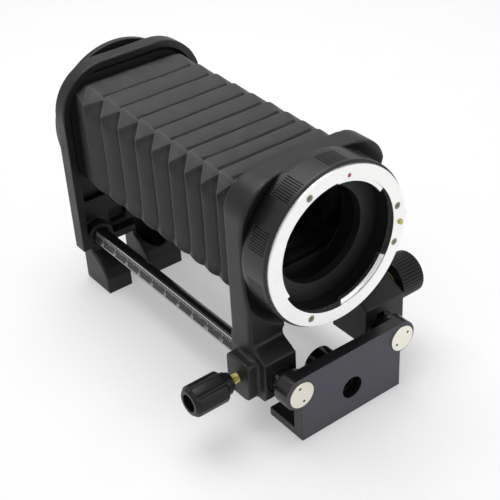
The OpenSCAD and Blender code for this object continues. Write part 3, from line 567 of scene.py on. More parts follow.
# %% Plate and paint
plate_paint, tree, surface, place = finish("plate_paint")
texture = use(tree, grain, Place=place, Size_mm=0.25)
specks = use(tree, dust, Place=place, Spacing_mm=0.9, Speck_mm=0.12)["Mask"]
ahead = node(tree, "ShaderNodeSeparateXYZ", {0: place.node.outputs["Normal"]}).outputs["Y"]
front_share = spread(tree, ahead, -0.6, -0.9)
face = mixed(tree, texture["Cloud"], (0.062, 0.062, 0.080, 1), (0.080, 0.080, 0.100, 1))
face = mixed(tree, math(tree, "MULTIPLY", specks, 0.45), face, (0.20, 0.20, 0.22, 1))
feed(tree, surface, Base_Color=mixed(tree, front_share, grey(0.014), face),
     Roughness=spread(tree, front_share, 0, 1, 0.24, 0.55))
relief(tree, surface, texture["Height"], 0.012)

red_paint, tree, surface, place = finish("red_paint", Roughness=0.25)
texture = use(tree, grain, Place=place, Size_mm=0.3)
red = mixed(tree, texture["Cloud"], (0.50, 0.05, 0.04, 1), (0.62, 0.08, 0.06, 1))
feed(tree, surface, Base_Color=red)

white_ink, tree, surface, place = finish("white_ink", Roughness=0.5)
texture = use(tree, grain, Place=place, Size_mm=0.15)
feed(tree, surface, Base_Color=mixed(tree, texture["Height"], grey(0.70), grey(0.92)))
print("paints:", plate_paint.name, red_paint.name, white_ink.name)


# %% [markdown]
# ## The bellows
#
# The real bellows is one tube of thin black leathercloth, creased into ten
# pleats that overlap like roof tiles: each has a long panel that rises gently
# away from the lens, and a short steep one behind its ridge. Its corners are
# tucked, so a ridge has eight corners and a valley is nearly a rectangle. A
# simulation would round the creases away. So the surface is worked out:
# twenty-one fold rings of eight corners, and rows between them that are
# weighted means of the rings. Near a fold the weights follow a short curve.

# %% Fold rings
FOLDS = 20
PLEAT_DEPTH = 3 * MM
RIDGE_CUT = (5.9 * MM, 6 * MM)
SIDE_LEAD = 5 * MM
# Near a corner a valley is a little shallower, and it doesn't lead yet
VALLEY_LIFT, VALLEY_CORNER_LEAD = 0.5 * MM, 0.2 * MM
VALLEY_LEAN = 0.18
VALLEY_CUT = (4 * MM, 0.3 * MM)
LOWER_VALLEY_CUT = 0.8 * MM
CLOTH = 0.7 * MM
TAPER = 0.26
SIDE_COLUMNS = [46, 14, 32, 14, 46, 14, 32, 14]
bellows_low, bellows_high, _ = extent("bellows")
TIP_PROUD = 0.6 * MM
RIDGE_HALF = (bellows_high[0] + TIP_PROUD, bellows_high[2] - AXIS_H)
fold_index = np.arange(FOLDS + 1)
is_ridge = fold_index % 2 == 1
is_inner = (fold_index > 0) & (fold_index < FOLDS)
t = fold_index / FOLDS
fold_y = bellows_low[1] + (bellows_high[1] - bellows_low[1]) * (t - TAPER * t * (1 - t))
valleys = fold_index[2:-1:2]
fold_y[valleys] = (1 - VALLEY_LEAN) * fold_y[valleys - 1] + VALLEY_LEAN * fold_y[valleys + 1]
rng = np.random.default_rng(7)


def fold_corners(inset):
    """Eight corners (x, z) of every fold ring, counted from the top right to the left."""
    depth = np.where(is_ridge, 0, PLEAT_DEPTH) + inset
    half_x, half_z = RIDGE_HALF[0] - depth, RIDGE_HALF[1] - depth
    cut_x = np.where(is_ridge, RIDGE_CUT[0], VALLEY_CUT[0])
    cut_z = np.where(is_ridge, RIDGE_CUT[1], VALLEY_CUT[1])
    near_x, near_z = half_x - cut_x, half_z - cut_z
    low_x = half_x - np.where(is_ridge, RIDGE_CUT[0], LOWER_VALLEY_CUT)
    x = np.stack([near_x, -near_x, -half_x, -half_x, -low_x, low_x, half_x, half_x], 1)
    z = np.stack([half_z, half_z, near_z, -near_z, -half_z, -half_z, -near_z, near_z], 1)
    return np.stack([x, z], -1)


def smooth(x):
    """0 below 0, 1 above 1, and a smooth step between them."""
    x = np.clip(x, 0, 1)
    return x * x * (3 - 2 * x)


# The share of a side panel over which a valley's lead, and its tuck, reach full size
LEAD_REACH, TUCK_REACH = 0.2, 0.14


def side_level(side, share):
    """0 on the top and bottom, 1 on the side panels, and a ramp across each facet."""
    on_side = np.array([0, 0, 1, 1, 0, 0, 1, 1])
    return on_side[side] + (on_side[(side + 1) % 8] - on_side[side]) * share


def fold_lead(side, share):
    """How far each point of every fold ring lies ahead: those on the side panels lead."""
    level = side_level(side, share)
    beyond_corner = smooth(np.minimum(share, 1 - share) / LEAD_REACH) * np.isin(side, (2, 6))
    valley = VALLEY_CORNER_LEAD * level + (SIDE_LEAD - VALLEY_CORNER_LEAD) * beyond_corner
    return is_inner[:, None] * np.where(is_ridge[:, None], SIDE_LEAD * level, valley)


def corner_tuck(side, share):
    """How far each valley is drawn in along X, and lifted along Z, near the tube's corners.

    The facet beside a ridge's upper corner ends in one point of the valley, so it is
    a triangle, and the side panel below it starts at a crisp slanting line.
    """
    inner_valley = (~is_ridge & is_inner)[:, None]
    near = 1 - smooth(np.minimum(share, 1 - share) / TUCK_REACH)
    is_facet, is_upper = np.isin(side, (1, 3, 5, 7)), np.isin(side, (1, 7))
    from_top = np.where(side == 2, share, np.where(side == 6, 1 - share, 1))
    tuck = VALLEY_CUT[0] * np.where(
        is_upper, side_level(side, share), 1 - smooth(from_top / TUCK_REACH))
    lift = VALLEY_LIFT * np.where(is_facet, 1, near)
    return inner_valley * tuck, inner_valley * lift


def rounded_corners(points, rounds=2):
    """Eases the corners at the ends of the top and the bottom, and leaves the others crisp."""
    columns = np.arange(points.shape[1])
    corner_columns = np.cumsum([0] + SIDE_COLUMNS[:-1])[[0, 1, 4, 5]]
    off = np.abs((columns[:, None] - corner_columns + 10) % len(columns) - 10).min(1)
    share = 0.5 * np.clip(1.5 - off / 4, 0, 1)[:, None]
    for _ in range(rounds):
        points = points + share * ((np.roll(points, 1, 1) + np.roll(points, -1, 1)) / 2 - points)
    return points


def wave(count, turns=(2, 3, 5, 8)):
    """A smooth random wave round every fold ring, from -1 to 1, one row for each ring."""
    s = np.linspace(0, 2 * np.pi, count, endpoint=False)
    total = np.zeros((FOLDS + 1, count))
    for n in turns:
        phase = rng.uniform(0, 2 * np.pi, (FOLDS + 1, 1))
        total += np.sin(n * s + phase) * rng.uniform(0.4, 1.0, (FOLDS + 1, 1)) / len(turns)
    return total


def fold_rings(inset, waviness):
    """Points of all fold rings: corners joined by straight sides, then wavered a little."""
    corners = fold_corners(inset)
    share = np.concatenate([np.arange(n) / n for n in SIDE_COLUMNS])
    side = np.repeat(np.arange(8), SIDE_COLUMNS)
    a, b = corners[:, side], corners[:, (side + 1) % 8]
    across = a + (b - a) * share[:, None]
    count = len(share)
    front_end, back_end = (np.sin(np.pi * np.clip(end * FOLDS / 2, 0, 0.5)) for end in (t, 1 - t))
    held = (front_end * back_end)[:, None]
    along = fold_y[:, None] - fold_lead(side, share) + waviness * held * wave(count)
    draw_in = 1 - waviness * held * (0.5 + 0.5 * wave(count)) / np.hypot(*across.T).T
    tuck, lift = corner_tuck(side, share)
    points = np.empty((FOLDS + 1, count, 3))
    points[..., 0] = across[..., 0] * draw_in - np.sign(across[..., 0]) * tuck
    points[..., 1] = along
    points[..., 2] = AXIS_H + across[..., 1] * draw_in + np.sign(across[..., 1]) * lift
    return rounded_corners(points)


print("ridges at y", np.round(fold_y[is_ridge] / MM, 1), "mm")

# %% [markdown]
# The rows of the tube are written as a table of weights, one row of the table
# for each row of points. Away from a fold, a point lies on the straight panel
# between two rings. Within the crease's reach it lies on the curve that the
# two panels and the fold line give, a quadratic one.


# %% Rows between the folds
def row_weights(crease, panel_shares, crease_steps):
    """Weights of the fold rings for every row, and each row's place from 0 to FOLDS."""
    rows, place = [], []
    u = np.linspace(0, 1, crease_steps + 1)
    for k in range(FOLDS):
        start = crease if k > 0 else 0.0
        stop = 1 - crease if k < FOLDS - 1 else 1.0
        for share in start + (stop - start) * np.asarray(panel_shares):
            row = np.zeros(FOLDS + 1)
            row[k], row[k + 1] = 1 - share, share
            rows.append(row)
            place.append(k + share)
        if k < FOLDS - 1:
            for s in u[1:-1]:
                row = np.zeros(FOLDS + 1)
                row[k] = (1 - s) ** 2 * crease
                row[k + 2] = s**2 * crease
                row[k + 1] = 1 - row[k] - row[k + 2]
                rows.append(row)
                place.append(k + 1 + crease * (2 * s - 1))
    return np.array(rows), np.array(place)


outer_weights, outer_place = row_weights(0.07, [0.0, 0.12, 0.3, 0.5, 0.7, 0.88, 1.0], 4)
inner_weights, _ = row_weights(0.1, [0.0, 0.5, 1.0], 2)
outer_rings = fold_rings(0, 0.36 * MM)
inner_rings = fold_rings(CLOTH, 0.0)
print(len(outer_weights), "outer and", len(inner_weights), "inner rows of", outer_rings.shape[1])

# %% Skins of the tube
CROWN = 0.55 * MM
BULGE = 0.22 * MM


def panel_of(place):
    """The panel that each row lies on, counted from the lens, and whether it is a long one."""
    panel = np.minimum(place.astype(int), FOLDS - 1)
    return panel, (panel % 2 == 0) & (panel > 0)


def bulged(points, place):
    """Crowns every long panel evenly, and pushes each flat out by its own small amount."""
    columns = points.shape[1]
    side = np.repeat(np.arange(8), SIDE_COLUMNS)
    share = np.concatenate([(np.arange(n) + 0.5) / n for n in SIDE_COLUMNS])
    angle = np.radians([90, 135, 180, 225, 270, 315, 0, 45])[side]
    panel, is_long = panel_of(place)
    amount = rng.uniform(-0.6, 1.0, (FOLDS, 8))[panel][:, side]
    is_flat_side = side % 2 == 0
    ripple = np.sin(2 * np.pi * share * rng.uniform(1.5, 4.5, (FOLDS, 8))[panel][:, side])
    push = BULGE * np.sin(np.pi * (place - panel))[:, None] * np.sin(np.pi * share)
    push = push * (amount + 0.35 * ripple) * is_flat_side
    out = points.copy()
    level = (points[..., [0, 2]] - (0, AXIS_H)) / RIDGE_HALF
    outward = np.sign(level) * np.abs(level) ** 8
    outward /= np.linalg.norm(outward, axis=-1, keepdims=True)
    crown = CROWN * np.sin(np.pi * (place - panel)) * is_long
    out[..., [0, 2]] += crown[:, None, None] * outward
    out[..., 0] += push * np.cos(angle)
    out[..., 2] += push * np.sin(angle)
    return out.reshape(-1, columns, 3)


outer_skin = bulged(np.einsum("rk,kcx->rcx", outer_weights, outer_rings), outer_place)
inner_skin = np.einsum("rk,kcx->rcx", inner_weights, inner_rings)
columns = outer_skin.shape[1]
inner_first = len(outer_skin) * columns
outer_faces = quads(len(outer_skin), columns)[:, ::-1]
inner_faces = quads(len(inner_skin), columns, first=inner_first)
c = np.arange(columns)
c2 = (c + 1) % columns
last_outer, last_inner = inner_first - columns, inner_first + (len(inner_skin) - 1) * columns
front_rim = np.stack([c, c2, inner_first + c2, inner_first + c], -1)
back_rim = np.stack([last_outer + c2, last_outer + c, last_inner + c, last_inner + c2], -1)
bellows_points = np.concatenate([outer_skin.reshape(-1, 3), inner_skin.reshape(-1, 3)])
bellows_faces = np.concatenate([outer_faces, inner_faces, front_rim, back_rim])
bellows = new_piece("bellows_cloth", bellows_points, bellows_faces, healed=False)
heal(bellows.data, 1e-9)
print("bellows:", len(bellows_faces), "cells")

# %% [markdown]
# Cloth shows where it has been folded. Measures go with its points: how far
# each lies from the ridge and from the valley, whether it is behind the ridge,
# how much wear its side of the tube shows, and how strong the painted shade in
# its creases and the painted light and shade on its side are. The finish draws
# its lines from them, painted dark lines behind the ridges and in the valleys
# among them. A map of true lengths carries the weave.

# %% Measures for the cloth
pleat_length = np.abs(np.diff(fold_y, append=2 * fold_y[-1] - fold_y[-2]))
panel, is_long = panel_of(outer_place)
step = outer_place - panel
to_ridge = np.where(panel % 2 == 0, 1 - step, step)
panel_length = np.hypot(pleat_length[panel], PLEAT_DEPTH)
FAR_MM = 9.0
ring_corners = fold_corners(0)
side_mm = np.linalg.norm(np.roll(ring_corners, -1, 1) - ring_corners, axis=-1).mean(0) / MM
WEAR_BY_SIDE = [0.2, 1.0, 0.8, 1.0, 0.3, 1.0, 0.8, 1.0]
# Strength of the painted shade line in the valleys, by side
PAINTED_CREASE_SHADE_BY_SIDE = [1.0, 0.0, 0.45, 0.0, 1.0, 0.0, 0.45, 0.0]
# Painted light and shade by side: upper corner facets lighter, sides and bottom darker
PAINTED_LIGHT_BY_SIDE = [1.0, 1.45, 0.76, 0.8, 0.7, 0.8, 0.76, 1.45]
by_row = {
    "ridge_mm": to_ridge * panel_length / MM,
    "valley_mm": np.where(is_long, (1 - to_ridge) * panel_length / MM, FAR_MM),
    "behind": panel % 2,
    "outside": np.ones(len(outer_skin)),
}
by_side = {"crease": PAINTED_CREASE_SHADE_BY_SIDE, "painted_light": PAINTED_LIGHT_BY_SIDE, "wear": WEAR_BY_SIDE}
measures = {key: np.repeat(values, columns) for key, values in by_row.items()}
for key, values in by_side.items():
    measures[key] = np.tile(np.repeat(values, SIDE_COLUMNS), len(outer_skin))
for key, values in measures.items():
    inside = np.full(len(inner_skin) * columns, 0.0 if key == "outside" else FAR_MM)
    set_measure(bellows.data, key, np.concatenate([values, inside]))

around = np.concatenate([[0], np.cumsum(np.repeat(side_mm / SIDE_COLUMNS, SIDE_COLUMNS))]) * MM
lengthways = np.concatenate([[0], np.cumsum(panel_length[:-1] * np.abs(np.diff(outer_place)))])
uv = bellows.data.uv_layers.new(name="cloth")
corners = np.empty(len(bellows.data.loops), np.int32)
bellows.data.loops.foreach_get("vertex_index", corners)
row, col = np.divmod(np.minimum(corners, inner_first - 1), columns)
col_by_face = col.reshape(-1, 4)
wraps = (col_by_face.max(1) == columns - 1) & (col_by_face.min(1) == 0)
col = np.where(np.repeat(wraps, 4) & (col == 0), columns, col)
places = np.stack([around[col], lengthways[row]], -1)
uv.data.foreach_set("uv", places.astype(np.float32).ravel())
print("cloth is", round(around[-1] / MM), "mm round and", round(lengthways[-1] / MM), "mm long")

# %% Cloth finish
cloth, tree, surface, place = finish(
    "leathercloth", Sheen_Weight=0.1, Sheen_Roughness=0.5, Specular_IOR_Level=0.3)
surface.inputs["Sheen Tint"].default_value = grey(0.6)


def measure(name):
    """A named measure of the mesh, as a socket."""
    return node(tree, "ShaderNodeAttribute", attribute_name=name).outputs["Fac"]


def line(distance, at, width):
    """1 on a line at this distance, falling to 0 at its width on either side."""
    off = math(tree, "ABSOLUTE", math(tree, "SUBTRACT", distance, at))
    return spread(tree, off, 0.0, width, 1.0, 0.0)


# Where the painted shade line behind each ridge lies, and its half width, in mm from the ridge
SHADE_BEHIND_RIDGE_AT, SHADE_BEHIND_RIDGE_HALF = 0.9, 0.3
# Painted shade in the valleys: full up to the first distance from the valley in mm, gone at the second
PAINTED_SHADE_FULL, PAINTED_SHADE_END = 2.35, 2.75
ridge, back_side, outside, share = (
    measure(name) for name in ("ridge_mm", "behind", "outside", "wear"))
cloth_map = node(tree, "ShaderNodeUVMap", uv_map="cloth").outputs[0]
cloud, streaks = (
    node(tree, "ShaderNodeTexNoise", {"Vector": place, "Scale": scale, "Detail": detail}).outputs[0]
    for scale, detail in ((120.0, 5.0), (900.0, 3.0)))
pebble = node(tree, "ShaderNodeTexVoronoi", {"Vector": cloth_map, "Scale": 2600.0},
              feature="SMOOTH_F1").outputs[0]
shade = mixed(tree, spread(tree, cloud, 0.35, 0.65), grey(0.038, (1, 1, 1.02)), grey(0.058))
# Painted light and shade: the colour is scaled by side, lighter on the upper facets, darker on the
# sides and bottom
shade = node(tree, "ShaderNodeMix", {0: 1.0, 6: shade, 7: measure("painted_light")}, data_type="RGBA",
             blend_type="MULTIPLY").outputs[2]
wear = math(tree, "MULTIPLY", line(ridge, 0.0, 0.34), spread(tree, streaks, 0.35, 0.6, 0.35, 1.0))
wear = math(tree, "MULTIPLY", wear, math(tree, "MULTIPLY", outside, share))
shade = mixed(tree, math(tree, "MULTIPLY", wear, 0.8), shade, grey(0.20))
# Painted shade: a dark line just behind each ridge, also a small dent in the bump
dent_and_painted_shade = math(tree, "MULTIPLY", line(ridge, SHADE_BEHIND_RIDGE_AT, SHADE_BEHIND_RIDGE_HALF), back_side)
shade = mixed(tree, math(tree, "MULTIPLY", dent_and_painted_shade, 0.75), shade, grey(0.012))
# Painted shade: a dark line on each long panel near its valley, where the nearer ridge hides it
painted_valley_shade = spread(tree, measure("valley_mm"), PAINTED_SHADE_END, PAINTED_SHADE_FULL)
crease = math(tree, "MULTIPLY", painted_valley_shade, measure("crease"))
shade = mixed(tree, crease, shade, grey(0.004))
lint = use(tree, dust, Place=place, Spacing_mm=2.6, Speck_mm=0.14)["Mask"]
lint = math(tree, "MULTIPLY", lint, math(tree, "MULTIPLY", outside, 0.6))
shade = mixed(tree, lint, shade, grey(0.5))
feed(tree, surface, Base_Color=mixed(tree, outside, grey(0.006), shade),
     Roughness=spread(tree, cloud, 0.3, 0.7, 0.55, 0.7))
height = math(tree, "MULTIPLY_ADD", pebble, 0.35, math(tree, "MULTIPLY", streaks, 0.5))
height = math(tree, "SUBTRACT", height, math(tree, "MULTIPLY", dent_and_painted_shade, 2.0))
relief(tree, surface, height, 0.05, strength=0.8)
dress(bellows, cloth, "bellows", sharp=50)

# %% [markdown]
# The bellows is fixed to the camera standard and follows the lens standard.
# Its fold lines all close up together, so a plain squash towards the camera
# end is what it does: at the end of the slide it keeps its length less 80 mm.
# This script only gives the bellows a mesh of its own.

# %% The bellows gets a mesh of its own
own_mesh(bellows)

# %% [markdown]
# ## Standards
#
# Both standards are light-alloy castings under satin black paint.

# %% Cast standards
LENS_STANDARD_HALF, DISH_DEPTH = 33.4 * MM, 2.5 * MM
LENS_STANDARD_CORNER, CAMERA_STANDARD_CORNER = 13 * MM, 22 * MM
lens_standard_top = extent("front_standard")[1][2]
lens_standard_front = extent("lens_barrel")[1][1] - DISH_DEPTH
camera_standard_high = extent("rear_standard")[1]
lens_edge = (LENS_STANDARD_HALF, lens_standard_top, LENS_STANDARD_CORNER, lens_standard_front)
camera_edge = (camera_standard_high[0], camera_standard_high[2], CAMERA_STANDARD_CORNER,
               camera_standard_high[1])
cast("lens_standard_casting", "front_standard", cast_paint, 3, lens_edge, edge_rounds=18)
cast("camera_standard_casting", "rear_standard", cast_paint, 2, camera_edge, edge_rounds=10)

# %% Machined pieces with broken edges
softened("end_plate_casting", "end_plate", 0.35 * MM, plate_paint, segments=3)
BROKEN_EDGES = [  # piece, node, width of the broken edge in mm, finish
    ("rail_cap_discs", "rail_caps", 0.15, cap_metal),
    ("mount_ring", "lens_mount_ring", 0.10, bright),
    ("baffle_ring", "baffle", 0.15, matt_black),
    ("front_clamping_frame", "front_bellows_frame", 0.2, matt_black),
    ("rear_clamping_frame", "rear_bellows_frame", 0.2, matt_black),
    ("camera_flange_ring", "camera_flange", 0.3, anodised),
    ("camera_bayonet_ring", "camera_bayonet", 0.12, bright),
    ("mount_ring_screws", "mount_screws", 0.05, dull_steel),
    ("camera_flange_screws", "flange_screws", 0.05, steel),
    ("rear_rail_screws", "rail_rear_screws", 0.12, dull_steel),
    ("socket_bush_tube", "socket_bush", 0.25, black_gloss),
    ("right_rail", "rail_right", 0.2, black_gloss),
    ("rack_bar", "rack", 0.05, steel),
    ("pinion_gear", "pinion", 0.05, steel),
    ("pinion_shaft_bar", "pinion_shaft", 0.2, steel),
    ("rail_bush_sleeves", "rail_bushes", 0.12, matt_black),
    ("pinion_bush_sleeve", "pinion_bush", 0.12, brass),
    ("clamp_pad_disc", "clamp_pad", 0.15, brass),
    ("grub_screw", "knob_grub_screw", 0.05, dull_steel),
    ("release_link_plate", "release_link", 0.08, steel),
]
for name, dressed, edge_mm, material in BROKEN_EDGES:
    softened(name, dressed, edge_mm * MM, material)

# %% [markdown]
# ## The barrel
#
# The barrel is turned, and its outside carries groups of fine grooves cut
# along it. The radius is a function of the angle: each groove is a shallow
# round hollow. Columns of points are only close together where grooves are.

# %% Barrel with grooves
barrel_low, barrel_high, barrel_mid = extent("lens_barrel")
BARREL_R = (barrel_high[2] - barrel_low[2]) / 2
BARREL_IN_R = 28 * MM
GROOVE_GROUPS, GROOVES, GROOVE_PITCH = 10, 9, 1.8
GROOVE_HALF = 0.42
GROOVE_DEPTH = 0.42 * MM
GROOVE_FROM, GROOVE_TO = 1.3 * MM, 10.3 * MM
NOTCH_ANGLE = np.radians(-4.5)
NOTCH_R, NOTCH_AT, NOTCH_DEEP = 2.8 * MM, 34.6 * MM, 9.5 * MM
group_middles = 121.5 + 36 * np.arange(GROOVE_GROUPS)
from_middle = GROOVE_PITCH * (np.arange(GROOVES) - (GROOVES - 1) / 2)
groove_middles = (group_middles[:, None] + from_middle).ravel()
near_groove = np.array([-1.1, -1.0, -0.6, 0, 0.6, 1.0, 1.1]) * GROOVE_HALF
plain = group_middles[:, None] + 18 + np.linspace(-9, 9, 13)
barrel_angles = np.radians(np.unique(np.concatenate([
    (groove_middles[:, None] + near_groove).ravel() % 360, plain.ravel() % 360])))


def barrel_shape(radius, along, angle):
    """Outer radius less the grooves, and less the notch for the release button."""
    degrees = np.degrees(angle)
    off = np.abs((degrees[..., None] - groove_middles + 180) % 360 - 180).min(-1) / GROOVE_HALF
    ease = np.clip((along - barrel_low[1] - GROOVE_FROM) / (0.5 * MM), 0, 1)
    ease = ease * np.clip((barrel_low[1] + GROOVE_TO - along) / (0.5 * MM), 0, 1)
    groove = GROOVE_DEPTH * np.sqrt(np.clip(1 - off**2, 0, 1)) * ease
    outer = radius > 0.95 * BARREL_R
    radius = radius - np.where(outer, groove, 0)
    across = NOTCH_AT * np.sin(angle - NOTCH_ANGLE)
    in_notch = (np.abs(across) < NOTCH_R) & (np.cos(angle - NOTCH_ANGLE) > 0)
    in_notch = in_notch & (along < barrel_low[1] + NOTCH_DEEP)
    floor = NOTCH_AT * np.cos(angle - NOTCH_ANGLE) - np.sqrt(np.clip(NOTCH_R**2 - across**2, 0, None))
    return np.where(in_notch & outer, np.minimum(radius, floor), radius)


barrel_rows = np.array([
    0.0, GROOVE_FROM, GROOVE_FROM + 0.25 * MM, GROOVE_FROM + 0.5 * MM, NOTCH_DEEP - 1e-6,
    NOTCH_DEEP, GROOVE_TO - 0.5 * MM, GROOVE_TO - 0.25 * MM, GROOVE_TO])
barrel_back = barrel_high[1] - barrel_low[1]
barrel_corners = [(BARREL_IN_R, barrel_back), (BARREL_IN_R, 0.0)]
barrel_corners += [(BARREL_R, y) for y in barrel_rows] + [(BARREL_R, barrel_back)]
barrel_easing = [0.3 * MM, 0.2 * MM, 0.45 * MM] + [0] * 8 + [0.3 * MM]
barrel_profile = eased(barrel_corners, barrel_easing, closed=True, steps=3)
barrel_profile[:, 1] += barrel_low[1]
barrel = new_piece("lens_barrel_turned", *turned(
    barrel_profile, barrel_mid, closed=True, shape=barrel_shape, angles=barrel_angles))
dress(barrel, anodised, "lens_barrel", sharp=40)

# %% [markdown]
# ## Release, springs and index
#
# The button is a small ribbed cap, the pin has a domed end, and behind them
# sits a coil spring. The lugs' leaf springs are thin strips that bow.

# %% Button and pin
button_low, button_high, button_mid = extent("release_button")
BUTTON_R = (button_high[0] - button_low[0]) / 2
button_length = button_high[1] - button_low[1]


BUTTON_RIBS, BUTTON_RIB_DEEP = 26, 0.12 * MM


def ribbed(radius, _, angle):
    """Fine ribs on the button's outer side: a small cosine on its radius."""
    rib = BUTTON_RIB_DEEP * (0.5 + 0.5 * np.cos(BUTTON_RIBS * angle))
    return radius - np.where(radius > 0.9 * BUTTON_R, rib, 0)


button_profile = eased(
    [(0, button_length), (BUTTON_R, button_length), (BUTTON_R, 0), (0.55 * BUTTON_R, 0), (0, 0)],
    [0, 0.3 * MM, 0.5 * MM, 0.2 * MM, 0])
button_profile[:, 1] += button_low[1]
button = new_piece("release_button_cap", *turned(button_profile, button_mid, columns=208, shape=ribbed))
dress(button, bright, "release_button")


def domed(name, node, rise, columns, material):
    """A round piece along Y whose front is a dome, a quarter ellipse turned round its axis."""
    low, high, middle = extent(node)
    radius = (high[0] - low[0]) / 2
    bend = np.linspace(0, np.pi / 2, 9)
    dome = np.stack([radius * np.sin(bend), low[1] + rise * (1 - np.cos(bend))], -1)
    profile = np.concatenate([dome, [[radius, high[1]], [0, high[1]]]])
    dress(new_piece(name, *turned(profile, middle, columns=columns)), material, node)


pin_low, pin_high, _ = extent("lock_pin")
PIN_R = (pin_high[0] - pin_low[0]) / 2
domed("lock_pin_domed", "lock_pin", 0.6 * PIN_R, 48, brass)


# %% Coil spring behind the pin
def coil(centre, radius, wire, start, end, turns, steps=28, sides=8):
    """A wire carried along a helix about a line parallel to Y, with closed ends."""
    s = np.linspace(0, 1, int(turns * steps) + 1)
    angle = 2 * np.pi * turns * s
    path = np.stack([
        centre[0] + radius * np.cos(angle), start + wire + (end - start - 2 * wire) * s,
        centre[2] + radius * np.sin(angle)], -1)
    ahead = np.gradient(path, axis=0)
    ahead /= np.linalg.norm(ahead, axis=1)[:, None]
    outward = np.stack([np.cos(angle), 0 * angle, np.sin(angle)], -1)
    sideways = np.cross(ahead, outward)
    ring = np.linspace(0, 2 * np.pi, sides, endpoint=False)
    size = np.concatenate([[1e-9], np.full(len(s), wire), [1e-9]])[:, None, None]
    path, outward, sideways = (np.concatenate([v[:1], v, v[-1:]])[:, None]
                               for v in (path, outward, sideways))
    c, s = np.cos(ring)[None, :, None], np.sin(ring)[None, :, None]
    return path + size * (c * outward + s * sideways), quads(len(path), sides)


spring_low, spring_high, spring_mid = extent("release_spring")
spring_r = (spring_high[0] - spring_low[0]) / 2
SPRING_WIRE = 0.2 * MM
spring = new_piece("release_coil_spring", *coil(
    spring_mid, spring_r - SPRING_WIRE, SPRING_WIRE, spring_low[1], spring_high[1], turns=5))
dress(spring, steel, "release_spring", sharp=80)
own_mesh(spring)

# %% Leaf springs and index dot
leaf_low = extent("mount_springs")[0]
LEAF_IN_R, LEAF_OUT_R, LEAF_T, LEAF_BOW = 25.9 * MM, 27.4 * MM, 0.22 * MM, 0.12 * MM
LEAF_SPAN = np.radians(23)
LEAF_MIDDLES = np.radians([61, -59, 181])
leaf_parts = []
for middle in LEAF_MIDDLES:
    share = np.linspace(-1, 1, 49)
    angle = middle + LEAF_SPAN * share
    ends = np.sqrt(np.clip(1 - np.clip((np.abs(share) - 0.94) / 0.06, 0, 1) ** 2, 0.02, 1))
    half = (LEAF_OUT_R - LEAF_IN_R) / 2 * ends
    bow = leaf_low[1] + LEAF_BOW * share**2
    section_r = np.stack([-half, half, half, -half], -1) + (LEAF_OUT_R + LEAF_IN_R) / 2
    section_y = bow[:, None] + np.array([0, 0, LEAF_T, LEAF_T])
    strip = round_grid(section_r, section_y, angle[:, None], (0, 0, AXIS_H), "y")
    first_tip, last_tip = (end.mean(1, keepdims=True).repeat(4, 1) for end in (strip[:1], strip[-1:]))
    strip = np.concatenate([first_tip, strip, last_tip])
    leaf_parts.append((strip, quads(len(strip), 4)))
dress(new_piece("bowed_leaf_springs", *joined(leaf_parts)), steel, "mount_springs")

domed("index_dot_domed", "index_dot", 0.2 * MM, 40, red_paint)

# %% [markdown]
# ## Knobs and screws
#
# The focus knob is knurled with forty straight ribs, the clamp knob has eight
# broad lobes and a stepped collar. Both are radius functions of the angle.

# %% Focus knob
knob_low, knob_high, _ = extent("focus_knob")
FOCUS_R = (knob_high[2] - knob_low[2]) / 2
FOCUS_RIBS = 40
RIB_DEEP = 0.5 * MM
knob_length = knob_high[0] - knob_low[0]


def knurled(radius, along, angle):
    """Rounded ribs with narrow grooves between them, fading out over both ends."""
    groove = np.abs(np.sin(FOCUS_RIBS * angle / 2)) ** 0.45
    from_end = np.minimum(along - knob_low[0], knob_high[0] - along)
    share = np.clip((from_end - 0.5 * MM) / (0.5 * MM), 0, 1)
    return radius - np.where(radius > 0.9 * FOCUS_R, RIB_DEEP * (1 - groove) * share, 0)


FOCUS_BORE_R, FOCUS_BORE_L, END_HOLLOW = 2.05 * MM, 9.2 * MM, 0.25 * MM
rib_rows = [(FOCUS_R, x * MM) for x in (1.0, 1.01, 6.0, 10.6, 10.7)]
focus_profile = eased(
    [(FOCUS_BORE_R, FOCUS_BORE_L), (FOCUS_BORE_R, 0), (FOCUS_R - 0.3 * MM, 0),
     (FOCUS_R, 0.5 * MM)] + rib_rows
    + [(FOCUS_R, 11.2 * MM), (FOCUS_R - 0.9 * MM, knob_length), (0.72 * FOCUS_R, knob_length),
       (0.70 * FOCUS_R, knob_length - END_HOLLOW), (0, knob_length - END_HOLLOW)],
    [0, 0.2 * MM, 0.2 * MM, 0.2 * MM] + [0] * 5 + [0.4 * MM, 0.5 * MM, 0.1 * MM, 0.1 * MM, 0])
focus_profile = np.concatenate([[[0, FOCUS_BORE_L]], focus_profile])
focus_profile[:, 1] += knob_low[0]
pinion_axis = extent("pinion_shaft")[2]
focus_knob = new_piece("focus_knob_ribbed", *turned(
    focus_profile, pinion_axis, axis="x", columns=400, shape=knurled))
dress(focus_knob, knob_plastic, "focus_knob", sharp=45)

# %% Clamp knob
clamp_low, clamp_high, _ = extent("clamp_knob")
CLAMP_R = (clamp_high[2] - clamp_low[2]) / 2
LOBES = 8
FLUTE_R, FLUTE_OUT, LOBE_CROWN = 0.9 * MM, 0.15 * MM, 0.012
COLLAR_L = 4 * MM
CLAMP_BORE_R, CLAMP_BORE_L = 2.03 * MM, 9.5 * MM
HOLLOW_R, HOLLOW_L = 3.6 * MM, 4.9 * MM
clamp_length = clamp_high[0] - clamp_low[0]
screw_axis = extent("clamp_screw")[2]


def lobed(radius, _, angle):
    """Broad lobes: round hollows are cut where eight circles cross the outline."""
    part = (angle + np.pi / LOBES) % (2 * np.pi / LOBES) - np.pi / LOBES
    at = CLAMP_R + FLUTE_OUT
    across = at * np.sin(part)
    floor = at * np.cos(part) - np.sqrt(np.clip(FLUTE_R**2 - across**2, 0, None))
    flute = np.where(np.abs(across) < FLUTE_R, floor, np.inf)
    crown = radius * (1 - LOBE_CROWN * (1 - np.cos(LOBES * part)) / 2)
    outer = radius > CLAMP_R - 1.2 * MM
    return np.where(outer, np.minimum(crown, flute), radius)


